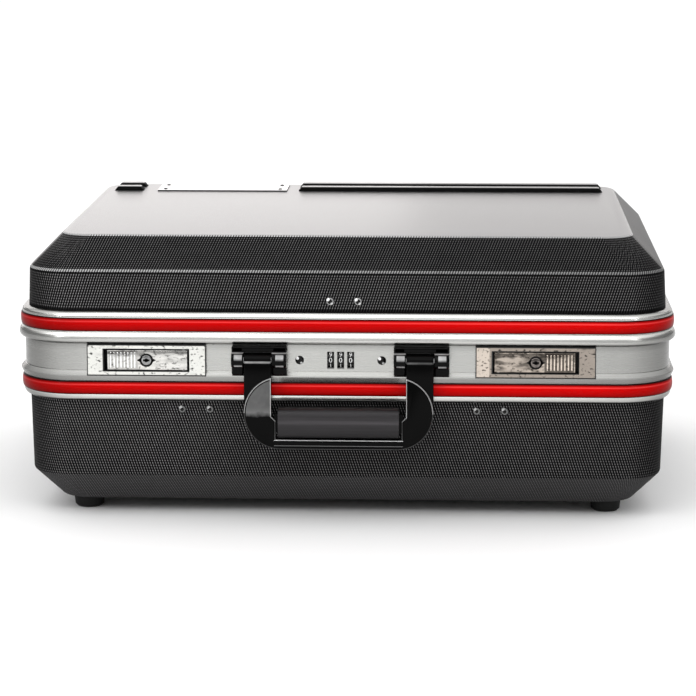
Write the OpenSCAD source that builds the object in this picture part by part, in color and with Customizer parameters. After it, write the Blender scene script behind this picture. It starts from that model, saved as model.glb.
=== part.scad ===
// Hard tool case. Two formed plastic shells are held in aluminium frames with red trims.
// The lid turns on two rear hinges and folds two stays. The front band carries two key
// latches, a three-dial lock and a carrying handle that folds down.
// X is the width, Y the depth with the front at -Y, and Z is up from the floor.

/* [Case] */
// Width across the frame
case_w = 500; // [460:5:640]
// Depth across the frame, front to back
case_d = 383; // [340:5:460]
// Radius of the frame's corners, seen from above
corner_r = 46; // [44:1:56]
// Height of the lower half, from its bottom to the parting line
base_h = 125.3; // [115:1:170]
// Height of the lid, from the parting line to its top
lid_h = 78.4; // [70:1:120]
// Height of the rubber feet
foot_h = 9.5; // [6:0.5:14]

/* [Shells] */
// Wall of both formed shells
shell_wall = 3; // [2:0.1:3.2]
// How far the shells stand in from the frame's outermost line
shell_inset = 7.7; // [7.4:0.1:8.6]
// Draft of the lid's walls, as a widening from chamfer to frame on each side
lid_draft = 1.8; // [0.8:0.1:2.4]
// Draft of the base's walls, as a widening from chamfer to frame on each side
base_draft = 2.1; // [0.8:0.1:3]
// Width of the chamfer round the lid's top
lid_chamfer_w = 24; // [15:1:32]
// Height of the chamfer round the lid's top
lid_chamfer_h = 24.5; // [15:1:32]
// Width of the chamfer round the base's bottom
base_chamfer_w = 20.7; // [12:1:28]
// Height of the chamfer round the base's bottom
base_chamfer_h = 23.5; // [12:1:28]
// Corner radius of both shells where the chamfer starts
edge_r = 31; // [26:1:36]
// Corner radius of the lid's flat top and the base's flat bottom
top_r = 23; // [16:1:26]

/* [Lid ribs and name plate] */
// Height of the two raised ribs on the lid
rib_h = 3.6; // [1:0.2:6]
// Width of each rib, front to back
rib_w = 12; // [8:1:16]
// Gap between the two ribs
rib_gap = 13; // [8:1:20]
// Distance of the rear rib from the rear edge of the flat top
rib_back = 10.9; // [6:0.1:20]
// Distance of the short ribs' ends from the left edge of the flat top
rib_margin_left = 7.2; // [6:0.1:20]
// Distance of the long ribs' ends from the right edge of the flat top
rib_margin_right = 9.6; // [6:0.1:20]
// Length of the short ribs at the left
rib_short_len = 26.4; // [16:0.2:40]
// Width of the name plate
plate_w = 110; // [60:5:130]
// Depth of the name plate, front to back
plate_d = 42; // [30:1:50]
// Thickness of the name plate
plate_t = 1; // [0.6:0.1:2]
// Gap between the short ribs and the name plate
plate_gap_left = 11.5; // [6:0.5:16]
// Gap between the name plate and the long ribs
plate_gap_right = 9.1; // [6:0.1:16]

/* [Frame] */
// Wall of the frame extrusions
frame_wall = 2.2; // [1.8:0.1:2.4]
// How far the flat band stands in from the frame's outermost line
band_inset = 4.4; // [4:0.1:4.8]
// Height of the flat band, from the parting line to the bead below it
band_h = 20.2; // [19.8:0.1:22]
// Height of the lid frame's rounded bead
lobe_h = 9.1; // [8:0.1:11]
// Height of each red trim
trim_h = 10.4; // [8:0.2:12]
// How far the lid's trim stands out of its channel
lid_trim_proud = 1.2; // [0.8:0.1:2.2]
// How far the base's trim stands out of its channel
base_trim_proud = 1.4; // [0.8:0.1:2.6]
// Gap between the two frames at the parting line
part_gap = 0.3; // [0.2:0.1:0.5]

/* [Front hardware] */
// Sideways offset of latches, lock and handle from the middle of the case
hardware_x = -2.4; // [-6:0.2:6]
// Distance from the case's end to the middle of each latch
latch_from_end = 104.2; // [80:1:120]
// Width of a latch's chrome plate
latch_w = 89.6; // [84:0.5:94]
// Height of a latch's chrome plate
latch_h = 23.6; // [22:0.2:23.8]
// Width of the opening that holds the lever
lever_slot_w = 64; // [58:0.2:65]
// Height of the opening that holds the lever
lever_slot_h = 16.5; // [14:0.5:17]
// Radius of the key cylinder
key_r = 3.9; // [3:0.1:4.5]
// Distance between the dials' middles
dial_pitch = 7.5; // [7:0.1:9]
// Radius of the dials
dial_r = 7; // [6.6:0.1:7.2]
// Width of each dial
dial_w = 4.9; // [4:0.1:5.5]
// Distance between the two dome-head screws of the lock
lock_screw_pitch = 61.6; // [56:0.5:66]

/* [Handle] */
// Distance between the middles of the two brackets
bracket_pitch = 121.4; // [110:1:140]
// Width of a bracket
bracket_w = 41.4; // [38:0.2:44]
// Width of the handle's arms
arm_w = 20.4; // [16:0.2:22]
// Sideways offset of the handle between its brackets
bow_shift = -1.1; // [-2:0.1:2]
// Distance from the handle's pin to the lower edge of the bow
bow_drop = 66.8; // [60:1:80]
// Radius of the bow's round ends
bow_end_r = 27.6; // [24:0.2:30]
// Height of the bar under the grip
bow_bar_h = 7.3; // [5:0.1:9]
// Length of the grip
grip_len = 90.6; // [80:0.2:93]
// Height of the grip when the handle hangs down
grip_h = 22.4; // [16:0.2:24]
// Radius of the handle's pins
handle_pin_r = 2; // [1.5:0.1:2.2]

/* [Hinges and stays] */
// Distance from the case's end to the middle of each hinge
hinge_from_end = 95; // [75:1:120]
// Width of a hinge
hinge_w = 50; // [36:1:70]
// Radius of the hinge knuckles
knuckle_r = 2.8; // [2.4:0.1:2.9]
// Radius of the hinge pins
hinge_pin_r = 1.2; // [1:0.1:1.5]
// Distance from the hinge axis to both upper pivots of a stay
stay_reach = 138; // [110:1:150]
// Thickness of the stay's links
stay_t = 2; // [1.5:0.1:2.2]
// Width of the stay's links
stay_w = 12; // [9:1:14]

/* [Feet and rivets] */
// Radius of a foot where it meets the case
foot_r = 12; // [11.4:0.1:13]
// Radius of a foot at the floor
foot_tip_r = 11; // [8:0.1:11.4]
// Distance of a foot's middle from the side edge of the flat bottom
foot_from_side = 20.3; // [16:0.1:40]
// Distance of a foot's middle from the front or rear edge of the flat bottom
foot_from_front = 17; // [15:0.5:40]
// Radius of the rivet heads
rivet_r = 3; // [2:0.1:3.2]
// Distance between the two rivets of a pair
rivet_pitch = 21; // [16:0.5:26]
// Distance between the two rivet pairs at the base's front
rivet_pair_span = 222; // [200:1:240]
// Sideways offset of the base's rivet pairs
rivet_pair_x = -0.8; // [-3:0.1:3]
// Height of the lid's rivets over the parting line
lid_rivet_h = 32.4; // [32:0.2:40]
// Distance of the base's rivets below the parting line
base_rivet_drop = 50.6; // [49:0.2:60]

/* [Hidden] */

$fn = 64;
hull_fn = 32;      // facets of the formed shells' corners
eps = 0.02;        // overlap of solids that are joined
land = 0.3;        // narrow upright land along a formed shell's edges
over = 1;          // how far a cut runs past the surface it opens
run_gap = 0.05;    // radial clearance of a pin in its hole
fit_gap = 0.2;     // clearance round pieces that are set into a cut-out
move_gap = 0.3;    // clearance beside pieces that move

half_w = case_w / 2;
half_d = case_d / 2;
part_z = foot_h + base_h;
top_z = part_z + lid_h;
bottom_z = foot_h;

// Frame profiles. x is the distance outward from the frame's outermost line, y the height over the parting line.
half_gap = part_gap / 2;
trim_gap = 0.3;                                  // metal between a bead and the trim channel beside it
web_depth = 2.9;                                 // depth of the trim channels
lid_face = -2.3;                                 // face of the lid frame above and below its trim
base_face = -2.9;                                // face of the base frame above and below its trim
lobe_mid = 3.9;                                  // height of the lid bead's outermost line
lip_r = 4.3;                                     // radius of both frames' outer lips
bead_tip = -0.9;                                 // outermost line of the base frame's bead
bead_h = 8.2;                                    // height of the base frame's bead
lid_channel_z = lobe_h + trim_gap;
lid_lip_z = lid_channel_z + trim_h + trim_gap;   // where the lid's lip starts
base_channel_z = -(band_h + bead_h);             // top of the base's trim channel
base_lip_z = base_channel_z - trim_h - 0.8;      // where the base's lip starts
lid_rim_z = lid_lip_z + lip_r;                   // top of the lid frame's lip
base_rim_z = base_lip_z - lip_r;                 // bottom of the base frame's lip
slot_gap = 0.3;                                  // clearance behind a shell's edge in its slot
slot_back = -(shell_inset + shell_wall + slot_gap);
leg_t = 1.6;                                     // thickness of the frames' inner legs
leg_back = slot_back - leg_t;
leg_over = 1.5;                                  // how far an inner leg stands past the outer lip
slot_depth = 12;                                 // how deep a shell's edge stands in its frame
lid_slot_z = lid_rim_z - slot_depth;
base_slot_z = base_rim_z + slot_depth;
floor_t = 2.4;                                   // thickness of a slot's floor
tongue_out = -9.4;                               // outer face of the lid's tongue
tongue_t = 1.4;
tongue_drop = 2.2;                               // how far the tongue reaches below the parting line
ledge_in = -9;                                   // inner edge of the base frame's top ledge
ledge_t = 1.8;
seal_top = 2.6;
lid_wall_out = -(band_inset + 0.8);              // channel web of the lid frame, outer face
base_wall_out = base_face - web_depth + 0.4;     // channel web of the base frame, outer face
lobe_r = (pow(lobe_h - lobe_mid, 2) + pow(lid_face, 2)) / (-2 * lid_face);
lobe_a = asin((lobe_h - lobe_mid) / lobe_r);

// Shells
rim_r = corner_r - shell_inset;
lid_edge_inset = shell_inset + lid_draft;
lid_top_inset = lid_edge_inset + lid_chamfer_w;
lid_edge_z = top_z - lid_chamfer_h;
base_edge_inset = shell_inset + base_draft;
base_bottom_inset = base_edge_inset + base_chamfer_w;
base_edge_z = bottom_z + base_chamfer_h;
mitre = tan(22.5);                               // how an inner edge shifts along a 45 degree chamfer
top_half_w = half_w - lid_top_inset;
top_half_d = half_d - lid_top_inset;
bottom_half_w = half_w - base_bottom_inset;
bottom_half_d = half_d - base_bottom_inset;

// Ribs and name plate
rib_slope = 3.6;                                 // run of a rib's sloping ends
rib_side_slope = 1;                              // run of a rib's steep sides
rear_rib_y = top_half_d - rib_back - rib_w / 2;
front_rib_y = rear_rib_y - rib_gap - rib_w;
rib_left = -top_half_w + rib_margin_left;
rib_right = top_half_w - rib_margin_right;
plate_left = rib_left + rib_short_len + plate_gap_left;
plate_x = plate_left + plate_w / 2;
plate_y = (rear_rib_y + front_rib_y) / 2;
rib_long_left = plate_left + plate_w + plate_gap_right;
plate_rivet_x = 6;
plate_rivet_y = 8;
plate_rivet_r = 1.9;

// Latches, in a latch's own directions: x along it with the lifting end at -x, y inward from its face, z up
latch_face = -1.1;                               // the plate's face, outward from the frame's outermost line
latch_z = part_z - 0.3 - latch_h / 2;
latch_x = half_w - latch_from_end;
bezel_t = band_inset + latch_face;               // the plate's thickness, from the band to its face
box_w = lever_slot_w + 5.6;
box_h = lever_slot_h + 3;
box_back = 17;                                   // depth of the housing behind the plate's face
pocket_d = 10;                                   // depth of the lever's pocket
lever_face = 0.4;
lever_t = 2.8;
lever_finger_gap = 2.5;                          // finger gap at the lifting end
lever_tail_gap = 1.2;                            // gap at the hinged end
lever_side_gap = 0.7;                            // gap above and below
pivot_x = lever_slot_w / 2 - 4.2;
pivot_y = 3.2;
pivot_boss_r = 2.6;
latch_pin_r = 1.2;
arm_t = 2;                                       // drive arm behind the lever
arm_len = 10.6;
arm_h = 5;
bolt_y = 11.5;
bolt_t = 3.2;
bolt_h = 8;
bolt_window = 4.6;                               // window in the bolt for the drive arm
bolt_nose_h = 5.2;
bolt_back = 12;                                  // how far the bolt reaches behind the pivot
bolt_travel = 4.5;
striker_gap = 0.3;                               // the bolt stops this far short of the striker
box_end = box_w / 2;
striker_x = box_end + 2;
nose_tip = striker_x - striker_gap;
striker_w = 10;
striker_t = 1.6;
striker_y = -leg_back + latch_face;              // the strikers lie on the lid frame's inner leg
notch_h = 6.4;
notch_w = 5;
flute_count = 8;
flute_pitch = 2.6;
flute_r = 0.8;

// Dial lock, in the same directions
lock_z = part_z - 11.7;
band_face_y = bezel_t;                           // the band's outer face, inward from a latch's face
band_back_y = bezel_t + frame_wall;
dial_proud = 0.8;
dial_axis_y = band_face_y + dial_r - dial_proud;
shaft_r = 1.5;
window_w = 5.3;
window_h = 13;
lock_plate_t = 1.5;
cheek_t = 1.5;
cheek_x = dial_pitch * 1.5 + 2.2;
divider_t = 1.6;
slide_y = dial_axis_y + dial_r + 0.8;
slide_t = 2;
slide_h = 5;
slide_travel = 3;
catch_x = cheek_x + cheek_t + 4;
catch_w = 10;
lock_plate_w = lock_screw_pitch + 11;
lock_plate_h = 18.6;
lock_screw_r = 3.3;
lock_back_y = slide_y + slide_t + 1.6;

// Handle, with o the distance outward from the band's outer face
bracket_h = 21.8;
bracket_z = part_z - 0.4 - bracket_h / 2;
bracket_base_t = 3;
pin_out = 7.5;
pin_z = part_z - 10.4;
knuckle_out_r = 6;
bar_h = 4.4;                                     // top bar of a bracket
arm_side_gap = 0.4;
arm_root_r = 4.2;
arm_back = 4;                                    // back of the arms, clear of the frame's bead
arm_front = 12.6;
bow_front = 15;
bow_back = 4.2;
bow_half_w = bracket_pitch / 2 + arm_w / 2;
bow_end_x = bow_half_w - bow_end_r;
bow_end_drop = bow_drop - bow_end_r;             // the round ends' middle, below the pin
inner_half_w = bow_half_w - arm_w;
inner_notch = 3.3;
bow_notch_drop = bow_end_drop + 2.6;
grip_gap = 1.3;
grip_core_h = 14;
grip_core_t = 5;
grip_t = 16;
grip_mid_out = 9.6;
grip_corner_r = 6;
grip_drop = bow_drop - bow_bar_h - grip_gap - grip_h / 2;
handle_reach = max(bow_front, grip_mid_out + grip_t / 2) - band_inset;

// Hinges
hinge_axis_out = -1.2;                           // outward from the frame's outermost line
hinge_x = half_w - hinge_from_end;
leaf_t = 1.6;
leaf_clear = knuckle_r + 0.6;
base_leaf_h = 13;
lid_leaf_h = 5.4;
knuckle_gap = 0.4;
knuckle_len = (hinge_w - 2 * knuckle_gap) / 3;
hinge_reach = hinge_axis_out + knuckle_r;
hinge_y = half_d + hinge_axis_out;
hinge_rivet_r = 2;

// The whole case stands so that its box is centred front to back
case_y = (handle_reach - hinge_reach) / 2;

// Stays, as a parallelogram: hinge axis, base pivot, lid pivot and knee
stay_pin_r = 2.5;
stay_lid_z = lid_slot_z + 7.5;                   // lid pivot over the parting line
stay_base_z = base_slot_z - 7;                   // base pivot over the parting line
stay_lid_y = hinge_y - stay_reach;
stay_base_y = hinge_y - stay_reach - 1;
knee_y = stay_base_y - stay_reach;
knee_z = stay_base_z + stay_lid_z;
stay_gap = 0.5;
stay_lid_x = half_w + leg_back - stay_gap - stay_t;
stay_base_x = stay_lid_x - stay_gap - stay_t;

// Feet and rivets
foot_x = bottom_half_w - foot_from_side;
foot_y = bottom_half_d - foot_from_front;
foot_screw_r = 2;
rivet_head_h = 1.3;
rivet_shank_r = 1.6;
rivet_play = 0.05;                               // a rivet's length beyond what it holds
lid_rivet_z = part_z + lid_rivet_h;
base_rivet_z = part_z - base_rivet_drop;
clip_t = 1.5;
clip_seat = 0.1;                                 // a clip's clearance from the drafted wall
clip_h = 14;
clip_edge = 3.6;                                 // from a clip's rivets to its plain edge, clear of the frame
clip_flange = 9;
clip_w = rivet_pitch + 13;

// Points on an ellipse's arc
function arc(cx, cy, rx, ry, a0, a1, n = 8) =
    [for (i = [0 : n]) [cx + rx * cos(a0 + (a1 - a0) * i / n), cy + ry * sin(a0 + (a1 - a0) * i / n)]];

// How far the lid's wall stands in at a height
function lid_inset(z) = shell_inset + lid_draft * (z - part_z - lid_rim_z) / (lid_edge_z - part_z - lid_rim_z);

// How far the base's wall stands in at a height
function base_inset(z) = shell_inset + base_draft * (part_z + base_rim_z - z) / (part_z + base_rim_z - base_edge_z);

// Moves a piece drawn about the middle of the frame to its place over the floor
module placed() translate([0, case_y, 0]) children();

// Sweeps a profile once round the frame
module frame_sweep() {
    straight_x = case_w - 2 * corner_r;
    straight_y = case_d - 2 * corner_r;
    translate([0, 0, part_z]) {
        for (turn = [0, 180]) {
            rotate(turn) translate([-straight_x / 2, half_d, 0])
                rotate([90, 0, 90]) linear_extrude(straight_x) children();
            rotate(turn + 90) translate([-straight_y / 2, half_w, 0])
                rotate([90, 0, 90]) linear_extrude(straight_y) children();
        }
        for (corner = [[1, 1, 0], [-1, 1, 90], [-1, -1, 180], [1, -1, 270]])
            translate([corner[0] * straight_x / 2, corner[1] * straight_y / 2, 0])
                rotate(corner[2]) rotate_extrude(angle = 90, $fn = 96) translate([corner_r, 0]) children();
    }
}

// A rounded plate, one level of a formed shell
module level(z, inset, r, height = land) {
    for (x = [-1, 1], y = [-1, 1])
        translate([x * (half_w - inset - r), y * (half_d - inset - r), z])
            cylinder(r = r, h = height, $fn = hull_fn);
}

// A rod with its axis along X, centred
module rod_x(r, length) rotate([0, 90, 0]) cylinder(r = r, h = length, center = true);

// A rod with its axis along Y, from y = 0 inward
module rod_y(r, length) rotate([-90, 0, 0]) cylinder(r = r, h = length);

// A low dome with its base at z = 0
module dome(r, h) {
    ball_r = (r * r + h * h) / (2 * h);
    rim_a = asin((ball_r - h) / ball_r);
    rotate_extrude() polygon(concat([[0, 0]], arc(0, h - ball_r, ball_r, ball_r, rim_a, 90, 6)));
}

// A dome-head rivet with its axis along Y and its shank toward +Y
module rivet(head_r, shank_r, length) {
    rotate([90, 0, 0]) dome(head_r, rivet_head_h);
    rod_y(shank_r, length);
    translate([0, length - eps, 0]) rod_y(shank_r * 1.5, 1);
}

// ---- Lower half ----

module base_shell() {
    rim = part_z + base_slot_z - slot_gap;
    lip = part_z + base_rim_z;
    w = shell_wall;
    color([0.11, 0.11, 0.115]) placed() difference() {
        hull() {
            level(lip, shell_inset, rim_r, rim - lip);
            level(base_edge_z, base_edge_inset, edge_r);
            level(bottom_z, base_bottom_inset, top_r);
        }
        hull() {
            level(lip, shell_inset + w, rim_r - w, rim + over - lip);
            level(base_edge_z + w * mitre, base_edge_inset + w, edge_r - w);
            level(bottom_z + w, base_bottom_inset + w * mitre, top_r - w * mitre);
        }
        for (x = [-1, 1], y = [-1, 1])
            translate([x * foot_x, y * foot_y, bottom_z - over]) cylinder(r = foot_screw_r + fit_gap, h = w + 2 * over);
        for (side = [-1, 1], pair = [-1, 1])
            translate([rivet_pair_x + side * rivet_pair_span / 2 + pair * rivet_pitch / 2, -half_d, base_rivet_z])
                rod_y(rivet_shank_r + run_gap, shell_inset + base_draft + 2 * w);
    }
}

module base_frame_profile() {
    polygon(concat(
        [
            [-band_inset, -half_gap],
            [ledge_in, -half_gap],
            [ledge_in, -half_gap - ledge_t],
            [-band_inset - frame_wall, -half_gap - ledge_t],
            [-band_inset - frame_wall, base_channel_z],
            [base_wall_out - frame_wall, base_channel_z - 1],
            [base_wall_out - frame_wall, base_slot_z + floor_t],
            [leg_back, base_slot_z + floor_t],
            [leg_back, base_rim_z - leg_over],
            [slot_back, base_rim_z - leg_over],
            [slot_back, base_slot_z],
            [-shell_inset, base_slot_z],
            [-shell_inset, base_rim_z],
        ],
        arc(base_face - lip_r, base_lip_z, lip_r, lip_r, 270, 360, 6),
        [
            [base_face, base_channel_z - trim_h],
            [base_wall_out, base_channel_z - trim_h],
            [base_wall_out, base_channel_z],
            [base_face, base_channel_z],
            [bead_tip, -band_h - bead_h / 2],
            [bead_tip, -band_h - 3.2],
            [-band_inset + 0.8, -band_h - 0.2],
            [-band_inset, -band_h],
        ]
    ));
}

// The parts of the base frame that make room for what is mounted on it
module band_cuts() {
    for (side = [-1, 1]) at_latch(side) {
        translate([-latch_w / 2 - fit_gap, -over, -latch_h / 2 - fit_gap])
            cube([latch_w + 2 * fit_gap, bezel_t + over, latch_h + 2 * fit_gap + over]);
        translate([-box_w / 2 - fit_gap, 0, -box_h / 2 - fit_gap])
            cube([box_w + 2 * fit_gap, box_back, box_h + 2 * fit_gap]);
        for (x = [-1, 1]) translate([x * latch_screw_x(), 0, 0])
            rod_y(latch_screw_shank_r() + run_gap, band_back_y + over);
    }
    at_lock() {
        for (i = [-1 : 1]) translate([i * dial_pitch - window_w / 2, 0, -window_h / 2])
            cube([window_w, band_back_y + over, window_h]);
        for (x = [-1, 1]) translate([x * lock_screw_pitch / 2, 0, 0])
            rod_y(lock_screw_shank_r() + run_gap, band_back_y + over);
    }
    for (side = [-1, 1]) at_bracket(side) {
        translate([-bracket_w / 2 - fit_gap, -bow_front, bracket_z - pin_z - bracket_h / 2 - fit_gap])
            cube([bracket_w + 2 * fit_gap, bow_front, bracket_h]);
        for (x = [-1, 1]) translate([x * bracket_screw_x(), -over, bracket_z - pin_z])
            rod_y(bracket_screw_r() + run_gap, frame_wall + 2 * over);
    }
    for (side = [-1, 1]) at_hinge(side) for (x = [-1, 1])
        translate([x * hinge_rivet_x(), -frame_wall - band_inset, -leaf_clear - base_leaf_h / 2])
            rod_y(rivet_shank_r + run_gap, frame_wall + 2 * band_inset);
}

module base_frame() {
    color([0.78, 0.78, 0.77]) placed() difference() {
        frame_sweep() base_frame_profile();
        band_cuts();
    }
}

// A trim strip: flat behind, rounded in front
module trim_profile(back, face, low_z, proud) {
    play = 0.1;
    polygon(concat(
        [[back, low_z + play]],
        arc(face, low_z + trim_h / 2, proud, trim_h / 2 - play, -90, 90, 12),
        [[back, low_z + trim_h - play]]
    ));
}

module base_trim() color([0.78, 0, 0.03]) placed() frame_sweep()
    trim_profile(base_wall_out, base_face, base_channel_z - trim_h, base_trim_proud);

module feet() {
    edge = 1.8;
    color([0.07, 0.07, 0.07]) placed() for (x = [-1, 1], y = [-1, 1]) translate([x * foot_x, y * foot_y, 0])
        difference() {
            union() {
                translate([0, 0, edge]) cylinder(r1 = foot_tip_r, r2 = foot_r, h = foot_h - edge);
                cylinder(r1 = foot_tip_r - edge, r2 = foot_tip_r, h = edge);
            }
            translate([0, 0, foot_h / 2]) cylinder(r = foot_screw_r + run_gap, h = foot_h);
        }
}

// Pan-head screws that hold the feet from inside
module foot_screws() {
    color([0.6, 0.6, 0.62]) placed() for (x = [-1, 1], y = [-1, 1])
        translate([x * foot_x, y * foot_y, bottom_z + shell_wall]) {
            translate([0, 0, -shell_wall - foot_h / 2 + over]) cylinder(r = foot_screw_r, h = shell_wall + foot_h / 2 - over);
            cylinder(r = foot_screw_r * 2, h = 2);
        }
}

module base_rivets() {
    inset = base_inset(base_rivet_z + rivet_r);
    reach = base_inset(base_rivet_z + clip_edge - clip_h) + shell_wall + clip_seat + clip_t + rivet_play;
    color([0.2, 0.2, 0.21]) placed() for (side = [-1, 1], pair = [-1, 1])
        translate([rivet_pair_x + side * rivet_pair_span / 2 + pair * rivet_pitch / 2, -half_d + inset, base_rivet_z])
            rivet(rivet_r, rivet_shank_r, reach - inset);
}

// An angle plate behind a rivet pair, with its flange turned into the case at its lower edge
module clip() {
    difference() {
        translate([-clip_w / 2, 0, clip_edge - clip_h]) cube([clip_w, clip_t, clip_h]);
        for (x = [-1, 1]) translate([x * rivet_pitch / 2, -over, 0]) rod_y(rivet_shank_r + run_gap, clip_t + 2 * over);
    }
    translate([-clip_w / 2, 0, clip_edge - clip_h]) cube([clip_w, clip_flange, clip_t]);
}

module base_clips() {
    inset = base_inset(base_rivet_z + clip_edge - clip_h);
    color([0.62, 0.62, 0.64]) placed() for (side = [-1, 1])
        translate([rivet_pair_x + side * rivet_pair_span / 2, -half_d + inset + shell_wall + clip_seat, base_rivet_z]) clip();
}

// ---- Handle brackets ----

function bracket_screw_x() = bracket_w / 2 - 5;
function bracket_screw_r() = 1.5;

// Puts children at a bracket, with y = 0 on the band's outer face and z = 0 on the pin
module at_bracket(side) translate([hardware_x + side * bracket_pitch / 2, -half_d + band_inset, pin_z]) children();

module handle_bracket(side) {
    low = bracket_z - bracket_h / 2 - pin_z;
    high = low + bracket_h;
    gap_half = arm_w / 2 + arm_side_gap;
    color([0.03, 0.03, 0.03]) placed() at_bracket(side) difference() {
        union() {
            translate([-bracket_w / 2, -bracket_base_t, low]) cube([bracket_w, bracket_base_t, bracket_h]);
            translate([-bracket_w / 2, -pin_out, high - bar_h]) cube([bracket_w, pin_out, bar_h]);
            for (x = [-1, 1]) {
                ear_w = bracket_w / 2 - gap_half - x * bow_shift;
                translate([x * (bracket_w - ear_w) / 2, -pin_out, 0]) {
                    rod_x(knuckle_out_r, ear_w);
                    translate([-ear_w / 2, 0, low]) cube([ear_w, pin_out, bracket_h]);
                }
            }
        }
        translate([0, -pin_out, 0]) rod_x(handle_pin_r, bracket_w + 2 * over);
        for (x = [-1, 1]) translate([x * bracket_screw_x(), -bracket_base_t, bracket_z - pin_z])
            rod_y(bracket_screw_r(), bracket_base_t + over);
    }
}

module handle_bracket_left() handle_bracket(-1);
module handle_bracket_right() handle_bracket(1);

module handle_pin(side) color([0.55, 0.55, 0.57]) placed() at_bracket(side)
    translate([0, -pin_out, 0]) rod_x(handle_pin_r, bracket_w - 1);

module handle_pin_left() handle_pin(-1);
module handle_pin_right() handle_pin(1);

// Screws that hold the brackets from inside the case
module bracket_screws() {
    color([0.6, 0.6, 0.62]) placed() for (side = [-1, 1]) at_bracket(side)
        for (x = [-1, 1]) translate([x * bracket_screw_x(), -bracket_base_t + 0.2, bracket_z - pin_z]) {
            rod_y(bracket_screw_r(), bracket_base_t + frame_wall);
            translate([0, bracket_base_t + frame_wall - 0.2, 0]) rod_y(bracket_screw_r() * 2, 1.6);
        }
}

// ---- Latches ----

function latch_screw_x() = (box_w / 2 + latch_w / 2) / 2 + 0.6;
function latch_screw_shank_r() = 1.2;

// Puts children at a latch, and mirrors the right one
module at_latch(side) translate([hardware_x + side * latch_x, -half_d - latch_face, latch_z])
    mirror([side > 0 ? 1 : 0, 0, 0]) children();

module latch_housing(side) {
    channel_back = pivot_x - bolt_back - bolt_travel - 2 * move_gap;
    color([0.86, 0.86, 0.86]) placed() at_latch(side) difference() {
        union() {
            translate([-latch_w / 2, 0, -latch_h / 2]) cube([latch_w, bezel_t, latch_h]);
            translate([-box_w / 2, 0, -box_h / 2]) cube([box_w, box_back, box_h]);
        }
        translate([-lever_slot_w / 2, -over, -lever_slot_h / 2]) cube([lever_slot_w, pocket_d + over, lever_slot_h]);
        translate([channel_back, bolt_y - move_gap, -bolt_h / 2 - fit_gap])
            cube([box_end - channel_back + over, bolt_t + 2 * move_gap, bolt_h + 2 * fit_gap]);
        translate([pivot_x - bolt_travel - arm_t - 0.4, pocket_d - over, -arm_h / 2 - move_gap])
            cube([bolt_travel + 2 * arm_t + 0.8, bolt_y + over - pocket_d, arm_h + 2 * move_gap]);
        translate([pivot_x, pivot_y, 0]) cylinder(r = latch_pin_r, h = box_h - 1, center = true);
        for (x = [-1, 1]) translate([x * latch_screw_x(), bezel_t - 2.4, 0]) rod_y(latch_screw_shank_r(), 4);
    }
}

module latch_left_housing() latch_housing(-1);
module latch_right_housing() latch_housing(1);

module latch_pin(side) color([0.6, 0.6, 0.62]) placed() at_latch(side)
    translate([pivot_x, pivot_y, 0]) cylinder(r = latch_pin_r, h = box_h - 1, center = true);

module latch_left_pin() latch_pin(-1);
module latch_right_pin() latch_pin(1);

// Screws that hold the latches from inside the case
module latch_screws() {
    color([0.6, 0.6, 0.62]) placed() for (side = [-1, 1]) at_latch(side)
        for (x = [-1, 1]) translate([x * latch_screw_x(), bezel_t - 2.2, 0]) {
            rod_y(latch_screw_shank_r(), 2.2 + frame_wall);
            translate([0, 2.2 + frame_wall, 0]) rod_y(latch_screw_shank_r() * 2, 1.4);
        }
}

// The lever that lifts at its fluted end, with a drive arm behind its pivot
module latch_lever(side) {
    left = -lever_slot_w / 2 + lever_finger_gap;
    right = lever_slot_w / 2 - lever_tail_gap;
    lever_h = lever_slot_h - 2 * lever_side_gap;
    boss_h = lever_slot_h - 2 * move_gap;
    first_flute = left + 5;
    color([0.88, 0.88, 0.88]) placed() at_latch(side) difference() {
        union() {
            translate([left, lever_face, -lever_h / 2]) cube([right - left, lever_t, lever_h]);
            translate([pivot_x, pivot_y, 0]) cylinder(r = pivot_boss_r, h = boss_h, center = true);
            translate([pivot_x - arm_t / 2, pivot_y, -arm_h / 2]) cube([arm_t, arm_len, arm_h]);
            translate([0, lever_face + lever_t - eps, 0]) rod_y(key_r + 1.4, 3);
        }
        translate([pivot_x, pivot_y, 0]) cylinder(r = latch_pin_r + run_gap, h = lever_slot_h, center = true);
        translate([0, -over, 0]) rod_y(key_r + run_gap, pocket_d);
        for (i = [0 : flute_count - 1]) translate([first_flute + i * flute_pitch, lever_face, 0])
            cylinder(r = flute_r, h = lever_h - 3, center = true);
    }
}

module latch_left_lever() latch_lever(-1);
module latch_right_lever() latch_lever(1);

// The key cylinder, with its keyway across the face
module latch_cylinder(side) {
    color([0.8, 0.8, 0.8]) placed() at_latch(side) difference() {
        translate([0, lever_face - 0.3, 0]) rod_y(key_r, lever_t + 4);
        translate([-key_r * 0.65, lever_face - over, -0.6]) cube([key_r * 1.3, over + 2.5, 1.2]);
    }
}

module latch_left_cylinder() latch_cylinder(-1);
module latch_right_cylinder() latch_cylinder(1);

// The sliding bolt, with a window that the lever's drive arm stands in
module latch_bolt(side) {
    body_end = box_end - 3;
    color([0.7, 0.7, 0.72]) placed() at_latch(side) difference() {
        union() {
            translate([pivot_x - bolt_back, bolt_y, -bolt_h / 2]) cube([body_end - pivot_x + bolt_back, bolt_t, bolt_h]);
            translate([body_end - eps, bolt_y, -bolt_nose_h / 2]) cube([nose_tip - body_end, bolt_t, bolt_nose_h]);
        }
        translate([pivot_x - bolt_window / 2, bolt_y - over, -arm_h / 2 - move_gap])
            cube([bolt_window, bolt_t + 2 * over, arm_h + 2 * move_gap]);
    }
}

module latch_left_bolt() latch_bolt(-1);
module latch_right_bolt() latch_bolt(1);

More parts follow.
